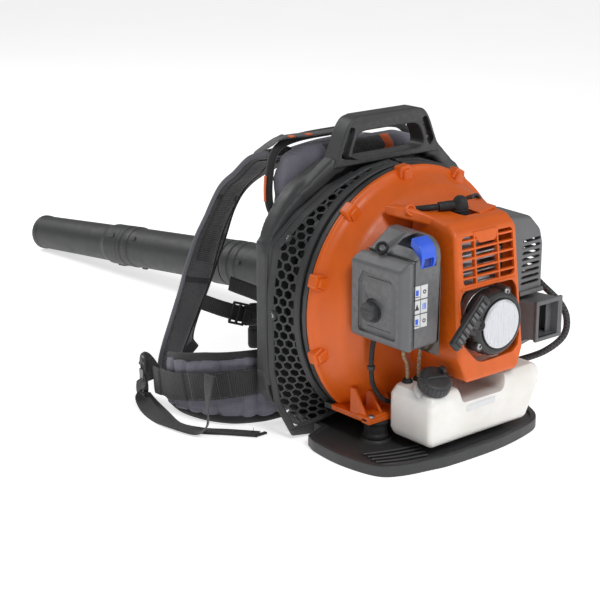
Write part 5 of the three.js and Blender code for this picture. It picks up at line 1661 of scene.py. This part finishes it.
def stitch_row(start, stop, up, pitch=2.6):
    """A row of thread stitches from start to stop, lying on a face whose outside is up (mm)."""
    start, stop, up = Vector(start), Vector(stop), Vector(up).normalized()
    run = stop - start
    along = run.normalized()
    side = along.cross(up).normalized()
    verts, faces = [], []
    for i in range(max(1, int(run.length / pitch))):
        a = start + along * (i * pitch + 0.3)
        b = a + along * (pitch - 0.9)
        n = len(verts)
        for p, h in ((a, 0.0), (a.lerp(b, 0.5), 0.45), (b, 0.0)):
            verts += [(p - side * 0.4 + up * (h - 0.2)) * MM, (p + side * 0.4 + up * (h - 0.2)) * MM,
                      (p + up * (h + 0.3)) * MM]
        for k in (0, 3):
            for e in range(3):
                f = (e + 1) % 3
                faces.append((n + k + e, n + k + f, n + k + 3 + f, n + k + 3 + e))
        faces += [(n, n + 1, n + 2), (n + 8, n + 7, n + 6)]
    return face_outwards(mesh_object("stitches", verts, faces))


# ---------------------------------------------------------------- back pad
def back_pad():
    """The stuffed pad against the back."""
    low = hull([(x * s, y, z) for s in (-1, 1) for x, y, z in ((114, 170, 136), (114, 187, 136),
        (143, 170, 200), (139, 195, 200), (118, 170, 300), (143, 197, 300))], "back_pad_cover")
    high = hull([(x * s, y, z) for s in (-1, 1) for x, y, z in ((114, 182, 290), (148, 197, 290),
        (164, 187, 334), (161, 211, 334), (153, 190, 380), (150, 224, 380), (138, 194, 412),
        (130, 228, 412), (96, 202, 424), (96, 226, 424))], "upper")
    made = boolean(low, [high], "UNION")
    inflate(made, 6, 6)

    def dips(x, y, z):
        depth = groove(z - 205, 5, 3.5) + groove(z - 278, 5, 3.5)
        depth += groove(abs(x) - 34, 5, 3.5) if z < 350 else 0
        if y > 196 and z > 290:
            depth += groove(z - 350, 5, 3)
        if y < 200 and z > 360:
            depth += groove(x - 52, 3, 1.6) + groove(x - 72, 3, 1.6)
        return depth + 0.7 * math.sin(x * 0.05 + z * 0.03) * math.sin(z * 0.06)

    press(made, dips)
    paint(made, LOOKS["pad_fabric"])
    made.data.materials.append(LOOKS["strap_mesh"])
    made.data.materials.append(EXTRA["orange_cloth"])
    layer = made.data.uv_layers.new(name="UVMap")
    for polygon in made.data.polygons:
        x, y, z = polygon.center / MM
        front = polygon.normal.y < -0.25
        if front and z > 350:
            polygon.material_index = 1 if -66 < x < 52 else 2 if 52 <= x < 72 else 0
        elif polygon.normal.y > 0.5 and abs(x) < 110:
            polygon.material_index = 1
        for loop in polygon.loop_indices:
            co = made.data.vertices[made.data.loops[loop].vertex_index].co
            layer.data[loop].uv = (co.x, co.z)
    place(made, None, "backpack_unit", "pad_fabric", ["back_pad"])
    edges = []
    for side in (-1, 1):
        if side > 0:
            rim = [(118, 171, 137), (147, 171, 202), (140, 172, 290), (165, 187, 336)]
            edges.append(cord_edge(rim, 4.2, EXTRA["binding"], "pad_binding", 60))
        back = [(side * 116, 189, 137), (side * 139, 196, 202), (side * 146, 199, 295),
                (side * 160, 211, 336), (side * 149, 224, 382), (side * 131, 229, 414),
                (side * 92, 227, 427), (0, 227, 429)]
        edges.append(cord_edge(back, 6.4, EXTRA["binding"], "pad_binding", 120))
    place(joined("back_pad_binding", edges), EXTRA["binding"], "backpack_unit", "webbing")
    over = [(-124, 296, 392), (-122, 272, 408), (-128, 240, 423), (-127, 222, 432), (-112, 214, 434),
            (-76, 212, 433), (-30, 211, 433), (10, 210, 433)]
    strap = flat_run(over, 25, 2.4, (0.55, 0.8, 0), 70, "pad_top_webbing")
    place(strap, LOOKS["webbing"], "backpack_unit", "webbing")
    tabs = []
    for x, y, z in ((-120, 204, 435.4), (-88, 202, 434.8)):
        tabs.append(rounded_box(x - 5, x + 5, y, y + 9, z - 1.4, z + 0.9, 0.8, 3, "orange_tab"))
    side_tab = [(-159, 222, 378), (-165, 216, 360), (-168, 212, 342)]
    tabs.append(flat_run(side_tab, 8, 2.4, (0.5, 1, 0.2), 14, "orange_tab"))
    place(joined("pad_orange_tabs", tabs), EXTRA["orange_cloth"], "backpack_unit")


# ---------------------------------------------------------------- shoulder straps
LEFT_STRAP = [
    (-108, 248, 405), (-116, 282, 392), (-122, 312, 364), (-135, 338, 334), (-152, 364, 272),
    (-165, 371, 231), (-180, 377, 178), (-194, 388, 127), (-208, 402, 70), (-214, 405, 42),
    (-216, 404, 20),
]
RIGHT_STRAP = [
    (85, 252, 400), (58, 300, 396), (16, 346, 376), (-30, 384, 348), (-62, 412, 318), (-78, 432, 280),
    (-88, 450, 225), (-104, 468, 150), (-116, 490, 78), (-112, 506, 36), (-100, 500, 14),
]
STRAP_POINTS = 110  # samples along a shoulder strap
# share of the strap's length, and how much of its full width it has there
STRAP_WIDTHS = ((0, 0.2, 0.38, 0.6, 0.85, 1), (0.95, 1.0, 0.84, 1.0, 0.82, 0.66))


def padded_strap(name, centres, width, thick, seams, node):
    """A padded shoulder strap: spacer mesh all round, bound edges and cross seams."""
    line = smooth_path(centres, STRAP_POINTS)
    sides = across_at(line, (1, 0, 0))
    widths = np.interp(np.linspace(0, 1, STRAP_POINTS), *STRAP_WIDTHS)
    w = width / 2 - 2
    section = []
    for k in range(15):
        x = -w + 2 * w * k / 14
        section.append((x, 1.0 + (thick / 2 - 0.8) * (1 - (x / w) ** 4) ** 0.5))
    for k in range(14, -1, -1):
        x = -w + 2 * w * k / 14
        section.append((x, -1.0 - (thick / 2 - 1.0) * (1 - (x / w) ** 4) ** 0.5))

    def swell(i, share):
        dip = sum(groove((share - s) * 420, 5, 0.3) for s in seams)
        return widths[i], 1.0 - dip

    body = soften(sweep(line, section, sides, name, shape=swell), 0, angle=70)
    place(body, LOOKS["strap_mesh"], "backpack_unit", "strap_mesh", [node])
    left = [p - s * (w * k + 0.2) for p, s, k in zip(line, sides, widths)]
    right = [p + s * (w * k + 0.2) for p, s, k in zip(line, sides, widths)]
    grey = soften(sweep(left, oval_section(2.2, 4.4, 14), sides, name + "_edge"), 0, angle=60)
    dark = soften(sweep(right, oval_section(2.2, 4.4, 14), sides, name + "_edge"), 0, angle=60)
    place(grey, EXTRA["grey_binding"], "backpack_unit")
    grey.name = name + "_left_binding"
    bands = [dark]
    for share in seams:
        i = int(share * (STRAP_POINTS - 1))
        a, b = max(i - 1, 0), min(i + 1, STRAP_POINTS - 1)
        path = [line[a], line[i], line[b]]
        rim = [(x * 1.02 * widths[i], u * 0.92 + (0.3 if u > 0 else -0.3)) for x, u in section]
        bands.append(soften(sweep(path, rim, [sides[i]] * 3, name + "_seam"), 0, angle=60))
    for i, stop in ((0, 3), (STRAP_POINTS - 4, STRAP_POINTS - 1)):
        rim = [(x * 1.05 * widths[i], u * 1.12) for x, u in section]
        bands.append(soften(sweep(line[i:stop + 1], rim, sides[i:stop + 1], name + "_end"), 0, angle=60))
    place(joined(name + "_right_binding", bands), EXTRA["binding"], "backpack_unit")


def shoulder_straps():
    """The two padded straps with their webbing."""
    padded_strap("shoulder_strap_left_pad", LEFT_STRAP, 58, 12, (0.3, 0.62), "shoulder_strap_left")
    padded_strap("shoulder_strap_right_pad", RIGHT_STRAP, 54, 11, (0.28, 0.6), "shoulder_strap_right")
    webs = []
    for centres, dx in ((LEFT_STRAP, -4), (RIGHT_STRAP, 2)):
        run = smooth_path(centres, STRAP_POINTS)
        out = across_at(run, (1, 0, 0))
        lifted = []
        for i in range(8, 60):
            along = (run[i + 1] - run[i - 1]).normalized()
            up = along.cross(out[i]).normalized()
            up = up if up.y < 0 or up.z < 0 else up
            lifted.append(run[i] + up * 7.2 + out[i] * dx)
        webs.append(flat_band(lifted, 25, 1.8, out[8:60], "strap_webbing"))
    made = joined("shoulder_strap_webbing", webs)
    place(made, LOOKS["webbing"], "backpack_unit", "webbing")


# ---------------------------------------------------------------- hip belt
LEFT_WING = [(140, 182, 8, 118, 8), (192, 194, 5, 118, 7), (232, 216, 5, 116, 7), (254, 254, 5, 110, 6.5),
             (262, 302, 5, 99, 6), (256, 346, 9, 88, 6)]
RIGHT_WING = [(96, 184, 22, 116, 8), (108, 214, 8, 116, 6), (108, 262, 4, 108, 6), (96, 318, 4, 98, 6),
              (72, 368, 6, 88, 6), (30, 404, 12, 80, 6), (-10, 410, 18, 74, 5)]


def wing_line(stations, side, count=70):
    """Centre, low and high edge, thickness and the outward direction along a belt wing."""
    middle = smooth_path([(side * x, y, (a + b) / 2) for x, y, a, b, _ in stations], count)
    places = np.linspace(0, 1, len(stations))
    share = np.linspace(0, 1, count)
    height = np.interp(share, places, [(b - a) / 2 for _, _, a, b, _ in stations])
    half = np.interp(share, places, [s[4] for s in stations])
    outs = []
    for i in range(count):
        along = middle[min(i + 1, count - 1)] - middle[max(i - 1, 0)]
        outs.append(Vector((along.y, -along.x, 0)).normalized() * (-1 if side < 0 else 1))
    return middle, height, half, outs


def wing_shape(stations, side, name, shrink=3.0):
    middle, height, half, outs = wing_line(stations, side)
    rows, verts, faces = 28, [], []
    for i, centre in enumerate(middle):
        end = min(i, len(middle) - 1 - i)
        pull = 1 - 0.35 * math.exp(-end / 2.5)
        for k in range(rows):
            t = 2 * math.pi * k / rows
            c, s = math.cos(t), math.sin(t)
            across = math.copysign(abs(c) ** 0.7, c) * (half[i] - 0.8) * pull
            up = math.copysign(abs(s) ** 0.45, s) * (height[i] - shrink) * (0.94 + 0.06 * pull)
            verts.append((centre + outs[i] * across + Vector((0, 0, up))) * MM)
    for i in range(len(middle) - 1):
        for k in range(rows):
            n = (k + 1) % rows
            faces.append((i * rows + k, i * rows + n, (i + 1) * rows + n, (i + 1) * rows + k))
    faces.append(tuple(range(rows)))
    faces.append(tuple((len(middle) - 1) * rows + k for k in range(rows)))
    return face_outwards(mesh_object(name, verts, faces))


def hip_belt():
    """The stuffed belt wings with their binding."""
    block_pad = hull([(x, y, z) for x, y, z in ((-150, 172, 28), (122, 172, 28), (-146, 172, 110),
                                                (118, 172, 110), (-140, 192, 30), (116, 192, 30),
                                                (-138, 192, 108), (112, 192, 108), (-150, 180, 34),
                                                (124, 180, 34), (-148, 180, 106), (122, 180, 106))],
                     "hip_belt_cover")
    wings = [wing_shape(LEFT_WING, -1, "left_wing", 0.4), wing_shape(RIGHT_WING, 1, "right_wing", 0.4)]
    made = boolean(block_pad, wings, "UNION")
    inflate(made, 5, 5)
    left = wing_line(LEFT_WING, -1, 160)[0]
    reach = np.cumsum([0] + [(b - a).length for a, b in zip(left, left[1:])])
    flat = np.array([(p.x, p.y) for p in left])
    creases = [(28, 2.6), (62, 3.2), (88, 2.4), (121, 3.4), (150, 2.2), (176, 3.0), (205, 2.4)]

    def dips(x, y, z):
        if x < -150 or (x < -120 and y > 196):
            s = reach[int(np.argmin(((flat - (x, y)) ** 2).sum(1)))]
            depth = sum(groove(s - c + 3 * math.sin(z * 0.07 + c), 4.2, d) for c, d in creases)
            depth += 0.5 * math.sin(s * 0.21 + z * 0.05)
            return depth + groove(z - 96, 3, 1.0) + groove(z - 20, 3, 1.0)
        if abs(x) < 130 and y < 215:
            return groove(abs(x + 10) - 46, 5, 3) + 0.4 * math.sin(x * 0.07)
        return groove((y - 300) % 48 - 24, 4, 2.2) * 0.8

    press(made, dips)
    stand_in("hip_belt", made)
    edges = []
    for stations, side, label in ((LEFT_WING, -1, "left"), (RIGHT_WING, 1, "right")):
        middle, height, _, outs = wing_line(stations, side, 70)
        top = [p + Vector((0, 0, h - 3.6)) for p, h in zip(middle, height)]
        low = [p - Vector((0, 0, h - 4.0)) for p, h in zip(middle, height)]
        for rim in (top, low):
            edges.append(soften(sweep(rim[4:-1], oval_section(4.6, 6.6, 16), outs[4:-1],
                                      "belt_binding_" + label), 0, angle=60))
        end = [top[-1], middle[-1] + (middle[-1] - middle[-2]).normalized() * 3, low[-1]]
        edges.append(cord_edge(end, 4.4, EXTRA["binding"], "belt_end", 30))
    roll = [(-6, 410, 62), (-26, 412, 60), (-44, 408, 58), (-54, 398, 57), (-50, 388, 57), (-38, 387, 58)]
    edges.append(flat_run(roll, 34, 4, (0, 0, 1), 40, "belt_roll"))
    place(joined("hip_belt_binding", edges), EXTRA["binding"], "backpack_unit", "webbing")

    centres = [(-206, 184, 76), (-243, 206, 72), (-266, 248, 62), (-274, 302, 50), (-269, 348, 43),
               (-262, 376, 38)]
    line = smooth_path(centres, 90)
    ups = across_at(line, (0, 0, 1))
    lumps = [0.0 if 0.18 < s < 0.24 or 0.5 < s < 0.56 or 0.82 < s < 0.88 else 1.0
             for s in np.linspace(0, 1, 90)]
    line = [p + Vector((-1.6, 0, 0)) * k for p, k in zip(line, lumps)]
    band = flat_band(line, 44, 2.6, ups, "belt_strap_webbing")
    stand_in("belt_strap", band)
    thread = []
    for share in (0.2, 0.27, 0.48, 0.55, 0.8, 0.87):
        i = int(share * 89)
        out = Vector((line[i + 1] - line[i - 1]).cross(ups[i])).normalized()
        out = out if out.x < 0 else -out
        spot = line[i] + out * 1.5
        thread.append(stitch_row(spot - ups[i] * 19, spot + ups[i] * 19, out))
    for i in range(4, 84, 8):
        out = Vector((line[i + 1] - line[i - 1]).cross(ups[i])).normalized()
        out = out if out.x < 0 else -out
        for sign in (-1, 1):
            a, b = line[i] + ups[i] * 19.5 * sign, line[i + 5] + ups[i + 5] * 19.5 * sign
            thread.append(stitch_row(a + out * 1.5, b + out * 1.5, out, 3.2))
    place(joined("belt_stitches", thread), EXTRA["grey_binding"], "backpack_unit")


# ---------------------------------------------------------------- webbing and buckles
TAIL = [(-264, 408, 5), (-270, 384, 1.7), (-286, 328, 1.7), (-300, 270, 1.7), (-284, 226, 1.7),
        (-256, 194, 1.7), (-226, 158, 1.7)]
LOOP = [(-274, 214, 92), (-279, 212, 72), (-284, 208, 44), (-286, 206, 18), (-293, 216, 4.6),
        (-302, 246, 3.6), (-306, 292, 3.6), (-298, 340, 5), (-288, 374, 13), (-278, 392, 24),
        (-270, 402, 34)]
LOOP_ACROSS = [(0.0, 1, 0.1), (0.0, 1, 0.1), (0.1, 1, 0), (0.3, 1, 0), (1, 0.3, 0), (1, 0.2, 0),
               (1, 0, 0), (1, -0.2, 0.1), (0.7, 0.5, 0.3), (0.3, 1, 0.2), (0.2, 1, 0.1)]
CHEST = [(-176, 362, 152), (-150, 338, 140), (-120, 322, 130), (-66, 330, 124), (-40, 380, 130),
         (-62, 440, 144)]


def belt_buckle():
    """The buckle at the front of the hip belt."""
    along, across = Vector((-0.12, -0.18, -1)), Vector((0.45, 1, 0))
    parts = side_release((-265, 403, 27), along, across, 27, "hip_buckle_socket")
    parts += ladder_lock((-262, 407, 56), along, across, 25, "hip_buckle_lock")
    made = joined("hip_buckle_pair", parts)
    stand_in("hip_buckle", made)
    link = flat_run([(-262, 374, 40), (-261, 386, 52), (-261, 398, 60), (-262, 408, 63), (-265, 410, 52)],
                    25, 2.2, (0.3, 0.4, 0.6), 40, "buckle_webbing")
    place(link, LOOKS["webbing"], "backpack_unit", "webbing")
    line, ways = smooth_path(LOOP, 110), smooth_path(LOOP_ACROSS, 110)
    loop = flat_band(line, 25, 2.2, ways, "belt_loop_webbing")
    place(loop, LOOKS["webbing"], "backpack_unit", "webbing")


def loose_webbing():
    """The chest strap with its buckle and ladder lock, and the hip belt's loose tail."""
    line = smooth_path(TAIL, 110)
    tail = flat_band(line, 25, 2.4, across_at(line), "belt_tail_webbing")
    stand_in("belt_tail", tail)
    end = [stitch_row(Vector((-238 + 6 * k, 160 + 6 * k, 3)), Vector((-222 + 6 * k, 176 + 6 * k, 3)),
                      (0, 0, 1)) for k in (0, 1)]
    end.append(rounded_box(-234, -214, 152, 158, 0.6, 4, 1.0, 2, "tail_fold"))
    place(joined("tail_end", end), EXTRA["binding"], "backpack_unit")

    line = smooth_path(CHEST, 120)
    ups = across_at(line, (0, 0, 1))
    chest = flat_band(line, 26, 2.4, ups, "chest_strap_webbing")
    stand_in("chest_strap", chest)
    parts = []
    for share, kind in ((0.24, "ladder"), (0.36, "release")):
        i = min(int(share * 119), 117)
        along = line[i + 1] - line[i - 1]
        out = along.cross(ups[i]).normalized()
        out = out if out.y < 0 else -out
        spot = line[i] + out * 1.5
        if kind == "ladder":
            parts += ladder_lock(spot, along, ups[i], 26, "chest_ladder")
        else:
            parts += side_release(spot, along, ups[i], 26, "chest_buckle")
    place(joined("chest_buckles", parts), LOOKS["black_plastic"], "backpack_unit")


make_camera()
make_studio()
paint_hidden_nodes()
hex_guard("intake_guard_left_net", 1, 236.0, "intake_guard_left")
hex_guard("intake_guard_right_net", -1, 172.0, "intake_guard_right")
place(joined("guard_screws", GUARD_SCREWS), EXTRA["screw_steel"], "backpack_unit")
fan_housing()
frame_and_handle()
foot_plate()
engine_shroud()
plug_boot()
air_filter_housing()
fuel_tank()
starter()
exhaust_side()
blow_tube()
control_handle()
cables()
back_pad()
shoulder_straps()
hip_belt()
belt_buckle()
loose_webbing()
covered = {n for o in SCENE.objects for n in list(o.get("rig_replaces", []))}
for node_name in NODES:
    if node_name not in covered:
        skin(node_name)
